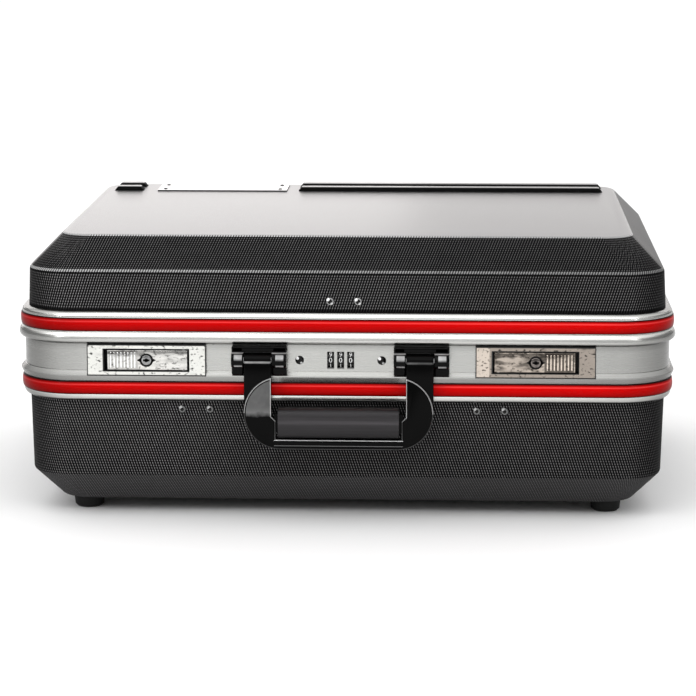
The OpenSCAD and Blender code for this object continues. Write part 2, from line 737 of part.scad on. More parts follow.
// A striker plate on the lid frame's inner leg, with a side notch for the bolt's nose
module latch_striker(side) {
    low = -notch_h / 2 - 3.4;
    high = part_z + lid_rim_z - latch_z;
    color([0.7, 0.7, 0.72]) placed() at_latch(side) difference() {
        translate([striker_x, striker_y, low]) cube([striker_w, striker_t, high - low]);
        translate([striker_x - over, striker_y - over, -notch_h / 2])
            cube([notch_w + over, striker_t + 2 * over, notch_h]);
    }
}

module latch_left_striker() latch_striker(-1);
module latch_right_striker() latch_striker(1);

// ---- Dial lock ----

function lock_screw_shank_r() = 1.5;

// Puts children at the lock, with y = 0 in the plane of the latches' faces
module at_lock() translate([hardware_x, -half_d - latch_face, lock_z]) children();

module lock_body() {
    cheek_h = 2 * dial_r - 1;
    color([0.5, 0.5, 0.52]) placed() at_lock() difference() {
        union() {
            translate([-lock_plate_w / 2, band_back_y, -lock_plate_h / 2]) cube([lock_plate_w, lock_plate_t, lock_plate_h]);
            for (x = [-cheek_x - cheek_t, cheek_x]) translate([x, band_back_y, -cheek_h / 2])
                cube([cheek_t, lock_back_y - band_back_y, cheek_h]);
            for (i = [-1, 1]) translate([i * dial_pitch / 2 - divider_t / 2, band_back_y, -cheek_h / 2])
                cube([divider_t, dial_axis_y + shaft_r + 1 - band_back_y, cheek_h]);
        }
        for (i = [-1 : 1]) translate([i * dial_pitch, dial_axis_y, 0]) rod_x(dial_r + 0.4, dial_w + 0.6);
        translate([0, dial_axis_y, 0]) rod_x(shaft_r, 2 * (cheek_x + cheek_t) + over);
        translate([0, slide_y - move_gap, 0]) translate([-cheek_x - 2 * cheek_t, 0, -slide_h / 2 - move_gap])
            cube([2 * cheek_x + 4 * cheek_t, slide_t + 2 * move_gap, slide_h + 2 * move_gap]);
        for (x = [-1, 1]) translate([x * lock_screw_pitch / 2, band_back_y - over, 0])
            rod_y(lock_screw_shank_r(), lock_plate_t + 2 * over);
    }
}

module lock_shaft() color([0.6, 0.6, 0.62]) placed() at_lock()
    translate([0, dial_axis_y, 0]) rod_x(shaft_r, 2 * (cheek_x + cheek_t));

module lock_screws() {
    color([0.75, 0.75, 0.75]) placed() at_lock() for (x = [-1, 1])
        translate([x * lock_screw_pitch / 2, band_face_y, 0]) {
            rotate([90, 0, 0]) dome(lock_screw_r, 2);
            rod_y(lock_screw_shank_r(), frame_wall + lock_plate_t + 1);
        }
}

// A dial wheel with ten flats between low ribs
module dial(i) {
    flat_d = 0.5;
    color([0.1, 0.1, 0.1]) placed() at_lock() translate([i * dial_pitch, dial_axis_y, 0]) difference() {
        rod_x(dial_r, dial_w);
        rod_x(shaft_r + run_gap, dial_w + 2 * over);
        for (digit = [0 : 9]) rotate([digit * 36 + 18, 0, 0]) translate([0, -dial_r, 0])
            cube([dial_w + 2 * over, flat_d * 2, 0.8], center = true);
    }
}

module dial_1() dial(-1);
module dial_2() dial(0);
module dial_3() dial(1);

module lock_slide() {
    nose = catch_x - striker_gap;
    color([0.7, 0.7, 0.72]) placed() at_lock()
        translate([-cheek_x - cheek_t - slide_travel, slide_y, -slide_h / 2])
            cube([nose + cheek_x + cheek_t + slide_travel, slide_t, slide_h]);
}

// A hook plate on the lid frame's inner leg, stepped inward to the lock's slide
module lock_catch() {
    high = part_z + lid_rim_z - lock_z;
    shelf = high - 13;
    low = -slide_h / 2 - 4.4;
    color([0.7, 0.7, 0.72]) placed() at_lock() difference() {
        union() {
            translate([catch_x, striker_y, shelf]) cube([catch_w, striker_t, high - shelf]);
            translate([catch_x, striker_y, shelf]) cube([catch_w, slide_y + striker_t - striker_y, striker_t]);
            translate([catch_x, slide_y, low]) cube([catch_w, striker_t, shelf - low + eps]);
        }
        translate([catch_x - over, slide_y - over, -slide_h / 2 - 0.6])
            cube([notch_w + over, striker_t + 2 * over, slide_h + 1.2]);
    }
}

// ---- Hinges ----

function hinge_rivet_x() = hinge_w / 2 - 8;

// Puts children at a rear hinge's axis
module at_hinge(side) translate([side * hinge_x, hinge_y, part_z]) children();

// Depth from the hinge axis to the face that a leaf lies on
hinge_back = band_inset + hinge_axis_out;

// One leaf, with knuckles at the given places; up = 1 for the lid's and -1 for the base's
module leaf(places, up, height) {
    difference() {
        union() {
            translate([-hinge_w / 2, -hinge_back, up > 0 ? leaf_clear : -leaf_clear - height])
                cube([hinge_w, leaf_t, height]);
            for (i = places) translate([i * (knuckle_len + knuckle_gap), 0, 0]) {
                rod_x(knuckle_r, knuckle_len);
                translate([-knuckle_len / 2, -hinge_back, up > 0 ? 0 : -leaf_clear - eps])
                    cube([knuckle_len, hinge_back - hinge_pin_r, leaf_clear + eps]);
            }
        }
        rod_x(hinge_pin_r + (up > 0 ? run_gap : 0), hinge_w + 2 * over);
        for (x = [-1, 1]) translate([x * hinge_rivet_x(), -hinge_back - over, up * (leaf_clear + height / 2)])
            rod_y(rivet_shank_r, leaf_t + 2 * over);
    }
}

module hinge_base_leaf(side) color([0.72, 0.72, 0.72]) placed() at_hinge(side) leaf([-1, 1], -1, base_leaf_h);
module hinge_lid_leaf(side) color([0.72, 0.72, 0.72]) placed() at_hinge(side) leaf([0], 1, lid_leaf_h);
module hinge_left_base_leaf() hinge_base_leaf(-1);
module hinge_right_base_leaf() hinge_base_leaf(1);
module hinge_left_lid_leaf() hinge_lid_leaf(-1);
module hinge_right_lid_leaf() hinge_lid_leaf(1);

module hinge_pin(side) color([0.6, 0.6, 0.62]) placed() at_hinge(side) rod_x(hinge_pin_r, hinge_w);
module hinge_left_pin() hinge_pin(-1);
module hinge_right_pin() hinge_pin(1);

// Rivets that hold the leaves to the frames, with heads outside
module leaf_rivets(up, height, wall) {
    color([0.7, 0.7, 0.7]) placed() for (side = [-1, 1]) at_hinge(side) for (x = [-1, 1])
        translate([x * hinge_rivet_x(), -hinge_back + leaf_t, up * (leaf_clear + height / 2)])
            rotate(180) {
                rotate([90, 0, 0]) dome(hinge_rivet_r, 0.9);
                rod_y(rivet_shank_r, leaf_t + wall);
                translate([0, leaf_t + wall, 0]) rod_y(hinge_rivet_r, 0.8);
            }
}

module hinge_base_rivets() leaf_rivets(-1, base_leaf_h, frame_wall);
module hinge_lid_rivets() leaf_rivets(1, lid_leaf_h, frame_wall - lid_wall_out - band_inset);

// ---- Lid ----

module rib(left, right, y) {
    hull() {
        translate([left, y - rib_w / 2, top_z - land]) cube([right - left, rib_w, 2 * land]);
        translate([left + rib_slope, y - rib_w / 2 + rib_side_slope, top_z + rib_h - land])
            cube([right - left - 2 * rib_slope, rib_w - 2 * rib_side_slope, land]);
    }
}

module lid_shell() {
    rim = part_z + lid_slot_z + slot_gap;
    lip = part_z + lid_rim_z;
    w = shell_wall;
    color([0.11, 0.11, 0.115]) placed() {
        difference() {
            union() {
                hull() level(rim, shell_inset, rim_r, lip - rim);
                hull() {
                    level(lip, shell_inset, rim_r);
                    level(lid_edge_z - land, lid_edge_inset, edge_r);
                    level(top_z - land, lid_top_inset, top_r);
                }
            }
            hull() level(rim - over, shell_inset + w, rim_r - w, lip + over - rim);
            hull() {
                level(lip, shell_inset + w, rim_r - w);
                level(lid_edge_z - w * mitre - land, lid_edge_inset + w, edge_r - w);
                level(top_z - w - land, lid_top_inset + w * mitre, top_r - w * mitre);
            }
            for (x = [-1, 1]) translate([x * rivet_pitch / 2, -half_d, lid_rivet_z])
                rod_y(rivet_shank_r + run_gap, shell_inset + lid_draft + 2 * w);
            for (x = [-1, 1], y = [-1, 1])
                translate([plate_x + x * (plate_w / 2 - plate_rivet_x), plate_y + y * (plate_d / 2 - plate_rivet_y), top_z - 2 * w])
                    cylinder(r = plate_rivet_r / 2 + run_gap, h = 3 * w);
        }
        for (y = [front_rib_y, rear_rib_y]) {
            rib(rib_left, rib_left + rib_short_len, y);
            rib(rib_long_left, rib_right, y);
        }
    }
}

module lid_frame_profile() {
    lid_wall_in = lid_wall_out - frame_wall;
    polygon(concat(
        arc(-band_inset, lobe_mid, band_inset, lobe_mid - half_gap, -90, 0, 8),
        arc(-lobe_r, lobe_mid, lobe_r, lobe_r, 0, lobe_a, 6),
        [
            [lid_face, lid_channel_z],
            [lid_wall_out, lid_channel_z],
            [lid_wall_out, lid_channel_z + trim_h],
            [lid_face, lid_channel_z + trim_h],
        ],
        arc(lid_face - lip_r, lid_lip_z, lip_r, lip_r, 0, 90, 6),
        [
            [-shell_inset, lid_rim_z],
            [-shell_inset, lid_slot_z],
            [slot_back, lid_slot_z],
            [slot_back, lid_rim_z + leg_over],
            [leg_back, lid_rim_z + leg_over],
            [leg_back, lid_slot_z - floor_t],
            [lid_wall_in, lid_slot_z - floor_t],
            [lid_wall_in, seal_top + tongue_t],
            [tongue_out - tongue_t, seal_top + tongue_t],
            [tongue_out - tongue_t, -tongue_drop],
            [tongue_out, -tongue_drop],
            [tongue_out, seal_top],
            [lid_wall_in + 0.4, seal_top],
            [lid_wall_in + 0.4, half_gap],
        ]
    ));
}

module lid_frame() {
    notch_high = leaf_clear + lid_leaf_h + fit_gap;
    color([0.8, 0.8, 0.79]) placed() difference() {
        frame_sweep() lid_frame_profile();
        for (side = [-1, 1]) at_hinge(side) {
            translate([-hinge_w / 2 - fit_gap, -hinge_back, -over]) cube([hinge_w + 2 * fit_gap, 2 * hinge_back, over + notch_high]);
            for (x = [-1, 1]) translate([x * hinge_rivet_x(), -hinge_back - 3 * frame_wall, leaf_clear + lid_leaf_h / 2])
                rod_y(rivet_shank_r + run_gap, 4 * frame_wall);
        }
    }
}

module lid_trim() color([0.78, 0, 0.03]) placed() frame_sweep()
    trim_profile(lid_wall_out, lid_face, lid_channel_z, lid_trim_proud);

// Soft seal between the lid frame and the base frame's top ledge
module lid_seal() color([0.08, 0.08, 0.08]) placed() frame_sweep()
    polygon([[tongue_out + 0.2, 0.05], [lid_wall_out - frame_wall + 0.2, 0.05], [lid_wall_out - frame_wall + 0.2, seal_top], [tongue_out + 0.2, seal_top]]);

module name_plate() {
    color([0.75, 0.75, 0.76]) placed() difference() {
        translate([plate_x - plate_w / 2, plate_y - plate_d / 2, top_z]) cube([plate_w, plate_d, plate_t]);
        for (x = [-1, 1], y = [-1, 1])
            translate([plate_x + x * (plate_w / 2 - plate_rivet_x), plate_y + y * (plate_d / 2 - plate_rivet_y), top_z - over])
                cylinder(r = plate_rivet_r / 2 + run_gap, h = plate_t + 2 * over);
    }
}

module plate_rivets() {
    color([0.55, 0.55, 0.56]) placed() for (x = [-1, 1], y = [-1, 1])
        translate([plate_x + x * (plate_w / 2 - plate_rivet_x), plate_y + y * (plate_d / 2 - plate_rivet_y), top_z + plate_t]) {
            dome(plate_rivet_r, 0.8);
            translate([0, 0, -plate_t - shell_wall]) cylinder(r = plate_rivet_r / 2, h = plate_t + shell_wall);
            translate([0, 0, -plate_t - shell_wall - 1]) cylinder(r = plate_rivet_r, h = 1);
        }
}

module lid_rivets() {
    inset = lid_inset(lid_rivet_z - rivet_r);
    reach = lid_inset(lid_rivet_z - clip_edge + clip_h) + shell_wall + clip_seat + clip_t + rivet_play;
    color([0.2, 0.2, 0.21]) placed() for (x = [-1, 1])
        translate([x * rivet_pitch / 2, -half_d + inset, lid_rivet_z])
            rivet(rivet_r, rivet_shank_r, reach - inset);
}

module lid_clip() {
    inset = lid_inset(lid_rivet_z - clip_edge + clip_h);
    color([0.62, 0.62, 0.64]) placed() translate([0, -half_d + inset + shell_wall + clip_seat, lid_rivet_z])
        mirror([0, 0, 1]) clip();
}

// ---- Handle ----

// Puts children at the handle's pin line, with y = 0 on the band's outer face
module at_handle() translate([hardware_x + bow_shift, -half_d + band_inset, pin_z]) children();

// The bow's front outline, with z = 0 at the pin drawn as y = 0
module bow_outline() {
    difference() {
        union() {
            for (x = [-1, 1]) translate([x * bow_end_x, -bow_end_drop]) circle(r = bow_end_r);
            translate([-bow_end_x, -bow_drop]) square([2 * bow_end_x, 2 * bow_end_r]);
        }
        inner_outline();
    }
}

// The opening between the arms, narrower below its notches
module inner_outline() {
    low = -bow_drop + bow_bar_h;
    polygon([
        [-inner_half_w, bow_end_r],
        [-inner_half_w, -bow_notch_drop],
        [-inner_half_w + inner_notch, -bow_notch_drop - inner_notch],
        [-inner_half_w + inner_notch, low],
        [inner_half_w - inner_notch, low],
        [inner_half_w - inner_notch, -bow_notch_drop - inner_notch],
        [inner_half_w, -bow_notch_drop],
        [inner_half_w, bow_end_r],
    ]);
}

module handle_bow() {
    core_w = 2 * (inner_half_w - inner_notch) + 2;
    color([0.03, 0.03, 0.03]) placed() at_handle() difference() {
        union() {
            translate([0, -bow_back, 0]) rotate([90, 0, 0]) linear_extrude(bow_front - bow_back) bow_outline();
            for (x = [-1, 1]) translate([x * bracket_pitch / 2, 0, 0]) {
                translate([-arm_w / 2, -arm_front, -bow_end_drop]) cube([arm_w, arm_front - arm_back, bow_end_drop]);
                translate([0, -pin_out, 0]) rod_x(arm_root_r, arm_w);
            }
            translate([-core_w / 2, -grip_mid_out - grip_core_t / 2, -grip_drop - grip_core_h / 2])
                cube([core_w, grip_core_t, grip_core_h]);
        }
        translate([0, -pin_out, 0]) rod_x(handle_pin_r + run_gap, bracket_pitch + 2 * bracket_w);
    }
}

module handle_grip() {
    color([0.17, 0.17, 0.18]) placed() at_handle() translate([-grip_len / 2, -grip_mid_out, -grip_drop])
        rotate([90, 0, 90]) difference() {
            linear_extrude(grip_len) {
                square([grip_t, grip_h - 2 * grip_corner_r], center = true);
                square([grip_t - 2 * grip_corner_r, grip_h], center = true);
                for (x = [-1, 1], y = [-1, 1])
                    translate([x * (grip_t / 2 - grip_corner_r), y * (grip_h / 2 - grip_corner_r)]) circle(r = grip_corner_r);
            }
            translate([-grip_core_t / 2, -grip_core_h / 2, -over]) cube([grip_core_t, grip_core_h, grip_len + 2 * over]);
        }
}

// ---- Stays ----

// Places in the plane of a stay, as [y, z]
base_pivot = [stay_base_y, part_z + stay_base_z];
lid_pivot = [stay_lid_y, part_z + stay_lid_z];
knee = [knee_y, part_z + knee_z];

// A flat link with round ends between two places, at x = 0 to stay_t
module link(from, to, from_r, to_r) {
    span = to - from;
    turn = atan2(span[1], span[0]);
    length = norm(span);
    translate([0, from[0], from[1]]) rotate([turn, 0, 0]) rotate([90, 0, 90]) linear_extrude(stay_t) difference() {
        union() {
            circle(d = stay_w);
            translate([length, 0]) circle(d = stay_w);
            translate([0, -stay_w / 2]) square([length, stay_w]);
        }
        if (from_r > 0) circle(r = from_r);
        if (to_r > 0) translate([length, 0]) circle(r = to_r);
    }
}

// A stay's pin with its axis along X, from x to x + length on the given side
module stay_rod(x, place, r, length) translate([x, place[0], place[1]]) rotate([0, 90, 0]) cylinder(r = r, h = length);

// Mirrors what is drawn for the right side to the left
module on_side(side) mirror([side < 0 ? 1 : 0, 0, 0]) children();

module stay_base_link(side) color([0.65, 0.65, 0.67]) placed() on_side(side)
    translate([stay_base_x, 0, 0]) link(base_pivot, knee, stay_pin_r + run_gap, stay_pin_r + run_gap);

// The lid link carries the knee's pin
module stay_lid_link(side) {
    color([0.65, 0.65, 0.67]) placed() on_side(side) {
        translate([stay_lid_x, 0, 0]) link(lid_pivot, knee, stay_pin_r + run_gap, 0);
        stay_rod(stay_base_x - 0.4, knee, stay_pin_r, stay_lid_x - stay_base_x + 0.4 + eps);
    }
}

module stay_left_base_link() stay_base_link(-1);
module stay_right_base_link() stay_base_link(1);
module stay_left_lid_link() stay_lid_link(-1);
module stay_right_lid_link() stay_lid_link(1);

// Shoulder rivets in the frames' inner legs that the links turn on
module stay_pivots(place, x) {
    head_t = 1.2;
    color([0.6, 0.6, 0.62]) placed() for (side = [-1, 1]) on_side(side) {
        stay_rod(x - 0.2, place, stay_pin_r, half_w + leg_back - x + 0.2);
        stay_rod(x - 0.2 - head_t, place, stay_pin_r + 1.5, head_t);
    }
}

module stay_base_pivots() stay_pivots(base_pivot, stay_base_x);
module stay_lid_pivots() stay_pivots(lid_pivot, stay_lid_x);

base_shell();
base_frame();
base_trim();
feet();
foot_screws();
base_rivets();
base_clips();
handle_bracket_left();
handle_bracket_right();
handle_pin_left();
handle_pin_right();
bracket_screws();
latch_left_housing();
latch_right_housing();
latch_left_pin();
latch_right_pin();
latch_screws();
lock_body();
lock_shaft();
lock_screws();
hinge_left_base_leaf();
hinge_right_base_leaf();
hinge_left_pin();
hinge_right_pin();
hinge_base_rivets();
stay_base_pivots();
lid_shell();
lid_frame();
lid_trim();
lid_seal();
name_plate();
plate_rivets();
lid_rivets();
lid_clip();
hinge_left_lid_leaf();
hinge_right_lid_leaf();
hinge_lid_rivets();
latch_left_striker();
latch_right_striker();
lock_catch();
stay_lid_pivots();
handle_bow();
handle_grip();
latch_left_lever();
latch_right_lever();
latch_left_cylinder();
latch_right_cylinder();
latch_left_bolt();
latch_right_bolt();
dial_1();
dial_2();
dial_3();
lock_slide();
stay_left_base_link();
stay_right_base_link();
stay_left_lid_link();
stay_right_lid_link();
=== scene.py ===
import math

import bmesh
import bpy
from mathutils import Matrix, Vector


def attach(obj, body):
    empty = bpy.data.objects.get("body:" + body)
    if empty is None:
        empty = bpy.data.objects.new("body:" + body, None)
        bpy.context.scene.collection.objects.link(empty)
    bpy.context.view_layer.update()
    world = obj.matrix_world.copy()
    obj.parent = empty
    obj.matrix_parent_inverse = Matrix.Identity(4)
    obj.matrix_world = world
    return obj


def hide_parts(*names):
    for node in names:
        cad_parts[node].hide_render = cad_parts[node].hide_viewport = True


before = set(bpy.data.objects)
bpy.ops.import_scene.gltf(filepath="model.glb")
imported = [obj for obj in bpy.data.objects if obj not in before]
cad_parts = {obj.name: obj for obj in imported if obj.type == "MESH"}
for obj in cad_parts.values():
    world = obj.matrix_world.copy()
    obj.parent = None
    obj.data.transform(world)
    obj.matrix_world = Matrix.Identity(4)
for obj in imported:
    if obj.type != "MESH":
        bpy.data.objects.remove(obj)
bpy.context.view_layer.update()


# ---- Lower shell ----
# The lower half is one vacuum-formed shell of black plastic with a fine diamond grain.
# Its walls lean in a little towards the bottom, and a broad chamfer runs round the bottom.
# The metal frame grips its upper edge.

HALF_W = 0.250  # half the case's width and depth across its frame
HALF_D = 0.1915
CASE_Y = 0.0058  # the case's middle, front to back
PART_Z = 0.1348  # where lid and base meet
TOP_Z = 0.2132
LID_EDGE_Z = 0.1887  # where the lid's walls turn into its chamfer
BASE_EDGE_Z = 0.0330
BASE_FLAT_Z = 0.0095
SHELL_INSET = 0.0077
LID_EDGE_INSET = 0.0095
CHAMFER_LEAN = 0.98  # how far the lid's chamfer runs inward for its rise
SHELL_CORNER = 0.0383
EDGE_CORNER = 0.031
FLAT_CORNER = 0.023
SHELL_WALL = 0.003
GRAIN = 0.0020  # spacing of the pips along a row
GRAIN_ROW = 0.0020
GRAIN_LEAN = 0.0063


class Wire:
    """One socket of a finish. Python's operators on it add Math nodes."""

    def __init__(self, finish, socket):
        self.finish = finish
        self.socket = socket

    def maths(self, operation, *others):
        """A Math node on this value and any others."""
        values = dict(enumerate((self, *others)))
        return self.finish.node("ShaderNodeMath", {"operation": operation}, values)

    def __add__(self, other):
        return self.maths("ADD", other)

    def __radd__(self, other):
        return self.maths("ADD", other)

    def __sub__(self, other):
        return self.maths("SUBTRACT", other)

    def __rsub__(self, other):
        return self.maths("MULTIPLY_ADD", -1, other)

    def __mul__(self, other):
        return self.maths("MULTIPLY", other)

    def __rmul__(self, other):
        return self.maths("MULTIPLY", other)

    def __truediv__(self, other):
        return self.maths("DIVIDE", other)

    def __pow__(self, other):
        return self.maths("POWER", other)

    def __abs__(self):
        return self.maths("ABSOLUTE")

    def __lt__(self, other):
        return self.maths("LESS_THAN", other)

    def __gt__(self, other):
        return self.maths("GREATER_THAN", other)


class Finish:
    """A surface finish: one Principled shader and the nodes that vary it."""

    def __init__(self, name, **constants):
        self.material = bpy.data.materials.new(name)
        self.material.use_nodes = True
        self.tree = self.material.node_tree
        self.shader = self.tree.nodes["Principled BSDF"]
        for socket, value in constants.items():
            self.set(socket.replace("_", " "), value)

    def node(self, kind, settings, inputs, output=0):
        """Adds a node with its settings first, then the values or wires of its sockets."""
        made = self.tree.nodes.new(kind)
        for name, value in settings.items():
            if name == "stops":
                ramp = made.color_ramp.elements
                while len(ramp) < len(value):
                    ramp.new(0.5)
                for stop, (place, color) in zip(ramp, value):
                    stop.position = place
                    stop.color = color
            else:
                setattr(made, name, value)
        for name, value in inputs.items():
            self.join(made.inputs[name], value)
        return Wire(self, made.outputs[output])

    def join(self, socket, value):
        """Links a wire to a socket, or writes a constant on it."""
        if isinstance(value, Wire):
            self.tree.links.new(value.socket, socket)
        else:
            socket.default_value = value

    def set(self, socket, value):
        """Gives one of the shader's sockets its wire or constant."""
        self.join(self.shader.inputs[socket], value)

    def place(self, source="Object"):
        """The x, y and z of a point of the piece, or its u and v."""
        vector = self.node("ShaderNodeTexCoord", {}, {}, source)
        return [self.node("ShaderNodeSeparateXYZ", {}, {0: vector}, i) for i in range(3)]

    def noise(self, scale, detail=3.0, stretch=(1, 1, 1)):
        """Soft random cloud, squeezed along the axes with the larger stretch."""
        vector = self.node("ShaderNodeTexCoord", {}, {}, "Object")
        spread = self.node("ShaderNodeMapping", {}, {"Vector": vector, "Scale": stretch})
        return self.node("ShaderNodeTexNoise", {}, {"Vector": spread, "Scale": scale, "Detail": detail})

    def ramp(self, value, stops):
        """A brightness that follows a value through stops of place and brightness."""
        painted = [(place, grey(level)) for place, level in stops]
        return self.node("ShaderNodeValToRGB", {"stops": painted}, {0: value})

    def mix(self, factor, a, b):
        """One colour where the factor is 0 and the other where it is 1."""
        return self.node("ShaderNodeMix", {"data_type": "RGBA"}, {0: factor, 6: a, 7: b}, 2)

    def tint(self, color, level):
        """A colour times a brightness."""
        settings = {"data_type": "RGBA", "blend_type": "MULTIPLY"}
        return self.node("ShaderNodeMix", settings, {0: 1.0, 6: color, 7: level}, 2)

    def bump(self, height, depth, strength=1.0):
        """Raises the surface in metres where the height is 1."""
        relief = {"Height": height, "Distance": depth, "Strength": strength}
        self.set("Normal", self.node("ShaderNodeBump", {}, relief))


def grey(level):
    """A neutral colour."""
    return (level, level, level, 1.0)


def shell_finish(name):
    """Black plastic with leaning rows of little pips, with painted highlights on their tips and along the
    lid's edges, and painted shade on the lid's chamfer, the corners, the right side and two dark lines.
    """
    finish = Finish(name, IOR=1.5, Specular_IOR_Level=0.03, Coat_Roughness=0.30)
    u, v, _ = finish.place("UV")
    x, y, z = finish.place()
    lean = (z > PART_Z) * -2 + 1
    column = u / GRAIN + lean * v / GRAIN_LEAN
    row = v / GRAIN_ROW
    across = abs(column.maths("FRACT") - 0.5) * 2
    along = abs(row.maths("FRACT") - 0.5) * 2
    # The pips' tips are painted paler, as painted highlights on their facets.
    pip = (across ** 4.2) * (0.10 + 0.90 * (along ** 1.8))
    cloud = finish.noise(9.0)
    fine = finish.noise(160.0, 2.0)
    top = z > TOP_Z - 0.0003
    slope = (z > LID_EDGE_Z + 0.0005) * (1 - top)
    outside = abs(x) + z * CHAMFER_LEAN > HALF_W - LID_EDGE_INSET + LID_EDGE_Z * CHAMFER_LEAN - 0.0015
    flank = slope * outside * (abs(x) + y > HALF_W - HALF_D + CASE_Y + 0.008)
    # Painted shade: darker towards the case's corners and sides.
    side = finish.ramp(abs(x) * 4, [(0.86, 0.0), (0.92, 0.65), (0.965, 1.0)])
    low = z < BASE_EDGE_Z - 0.0008  # the base's chamfer
    lid_edge_highlight = abs(z - LID_EDGE_Z - 0.0005) < 0.0009  # painted highlight along the rounded edge of the lid's chamfer
    under = abs(z - LID_EDGE_Z + 0.0013) < 0.0007  # painted shade line under that edge
    top_edge_highlight = abs(z - TOP_Z + 0.0006) < 0.0004  # painted highlight along the rounded edge of the lid's top
    joint_shadow = abs(z - PART_Z - 0.0250) < 0.0009  # painted shadow line where the lid enters its frame
    # Painted shade: the lid's chamfer is painted darker than its walls.
    shade = pip * (0.45 + 0.6 * cloud + 0.5 * fine) * (1 - 0.55 * low) * (1 - 0.38 * slope)
    # Painted shade: darker towards the right, and in the two painted shade lines.
    shade = shade * (1 - 0.8 * side) * (1 - 0.7 * x) * (1 - 0.85 * under) * (1 - 0.9 * joint_shadow) + low * 0.07
    plain = finish.mix(shade, (0.001, 0.001, 0.0012, 1), (0.47, 0.46, 0.465, 1))
    # Painted highlights along the lid's edges, fading towards the right.
    edge_highlights = (lid_edge_highlight * (0.5 - 0.8 * x) + top_edge_highlight * 0.8) * (across ** 1.3)
    finish.set("Base Color", finish.mix(edge_highlights, plain, grey(0.8)))
    finish.set("Roughness", 0.5 + 0.16 * cloud)
    finish.set("Coat Weight", top + flank * 0.42)
    finish.bump(pip * (1 - 0.95 * top - 0.7 * flank), 0.00016, 0.5)
    return finish.material


def case_ring(bm, inset, height, radius):
    """A rounded rectangle round the case at a height, as a ring of edges."""
    corners = bmesh.ops.create_grid(bm, x_segments=1, y_segments=1, size=1.0)["verts"]
    bmesh.ops.scale(bm, vec=(HALF_W - inset, HALF_D - inset, 1), verts=corners)
    bmesh.ops.translate(bm, vec=(0, CASE_Y, height), verts=corners)
    bmesh.ops.bevel(
        bm, geom=corners, offset=radius, offset_type="OFFSET", segments=14, profile=0.5,
        affect="VERTICES", material=-1)
    edges = list(bm.faces[:][0].edges)
    bmesh.ops.delete(bm, geom=bm.faces[:], context="FACES_ONLY")
    return edges


def round_edges(bm, edges, width, segments=3):
    """Rounds sharp edges over a width."""
    bmesh.ops.bevel(
        bm, geom=edges, offset=width, offset_type="OFFSET", segments=segments, profile=0.5,
        affect="EDGES", material=-1)


def soften(bm):
    """Smooth faces, with hard edges only where the surface turns sharply."""
    sharp = math.radians(32.0)
    for face in bm.faces:
        face.smooth = True
    for edge in bm.edges:
        edge.smooth = not (edge.is_manifold and edge.calc_face_angle(0) > sharp)


def piece(name, bm, material, body, nodes=()):
    """Closes a bmesh into an object that rides on a body of the case."""
    soften(bm)
    mesh = bpy.data.meshes.new(name)
    bm.to_mesh(mesh)
    bm.free()
    made = bpy.data.objects.new(name, mesh)
    bpy.context.scene.collection.objects.link(made)
    mesh.materials.append(material)
    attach(made, body)
    if nodes:
        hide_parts(*nodes)
    return made


def unwrap_shell(bm, rings):
    """Lays the grain along the walls and round the corners, and flat on the top or bottom."""
    edge_z, flat_z = rings[-2][1], rings[-1][1]
    slope = math.hypot(rings[-1][0] - rings[-2][0], flat_z - edge_z) / (flat_z - edge_z)
    way = 1 if flat_z > edge_z else -1
    round_side = 0.410  # a quarter of the way round the walls
    fit = GRAIN * round(4 * round_side / GRAIN) / (4 * round_side)
    layer = bm.loops.layers.uv.new("grain")

    def outline(z):
        """The ring at a height: inset, height and corner radius."""
        for low, high in zip(rings, rings[1:]):
            part = (z - low[1]) / (high[1] - low[1])
            if part <= 1 or high is rings[-1]:
                part = min(max(part, 0), 1)
                return [a + (b - a) * part for a, b in zip(low, high)]

    def walked(point):
        """How far round the case a point lies from the middle of its front or back."""
        inset, _, radius = outline(point.z)
        straight_x, straight_y = HALF_W - inset - radius, HALF_D - inset - radius
        x, y = abs(point.x), abs(point.y - CASE_Y)
        if x < straight_x + 1e-5:
            return x
        if y < straight_y + 1e-5:
            return round_side - y
        turn = math.atan2(x - straight_x, y - straight_y) / (math.pi / 2)
        return straight_x + (round_side - straight_y - straight_x) * turn

    for face in bm.faces:
        middle = face.calc_center_median()
        for loop in face.loops:
            point = loop.vert.co
            if abs(face.normal.z) > 0.95:
                loop[layer].uv = (point.x, point.y)
                continue
            rear = point.y > CASE_Y
            if abs(middle.x) < 0.15:
                u = 2 * round_side - point.x if rear else point.x
            else:
                way_round = 2 * round_side - walked(point) if rear else walked(point)
                u = math.copysign(way_round, middle.x)
            beyond = max(way * (point.z - edge_z), 0)
            loop[layer].uv = (fit * u, point.z + way * beyond * (abs(slope) - 1))


def shell_piece(name, rings, material, body, nodes):
    """A formed shell from its rings: rim, lip, where the chamfer starts, and the flat."""
    bm = bmesh.new()
    loops = [case_ring(bm, *ring) for ring in rings]
    for lower, upper in zip(loops, loops[1:]):
        bmesh.ops.bridge_loops(bm, edges=lower + upper)
    bmesh.ops.contextual_create(bm, geom=loops[-1])
    bmesh.ops.recalc_face_normals(bm, faces=bm.faces)
    for ring in rings[-2:]:
        level = [e for e in bm.edges if all(abs(v.co.z - ring[1]) < 1e-6 for v in e.verts)]
        round_edges(bm, level, 0.0016)
    unwrap_shell(bm, rings)
    skin = piece(name, bm, material, body, nodes)
    wall = skin.modifiers.new("wall", "SOLIDIFY")
    wall.thickness = SHELL_WALL
    wall.offset = -1


black_grain = shell_finish("black grained plastic")
shell_piece(
    "lower_shell", [
        (SHELL_INSET, 0.1026, SHELL_CORNER), (SHELL_INSET, 0.0909, SHELL_CORNER),
        (0.0098, BASE_EDGE_Z, EDGE_CORNER), (0.0305, BASE_FLAT_Z, FLAT_CORNER)],
    black_grain, "base", ["base_shell"])


# ---- Frames ----
# Two aluminium extrusions run round the case, bent at the corners and brushed lengthwise.
# The lower one carries all the hardware on its flat band; the lid's has a round bead that
# closes on it.

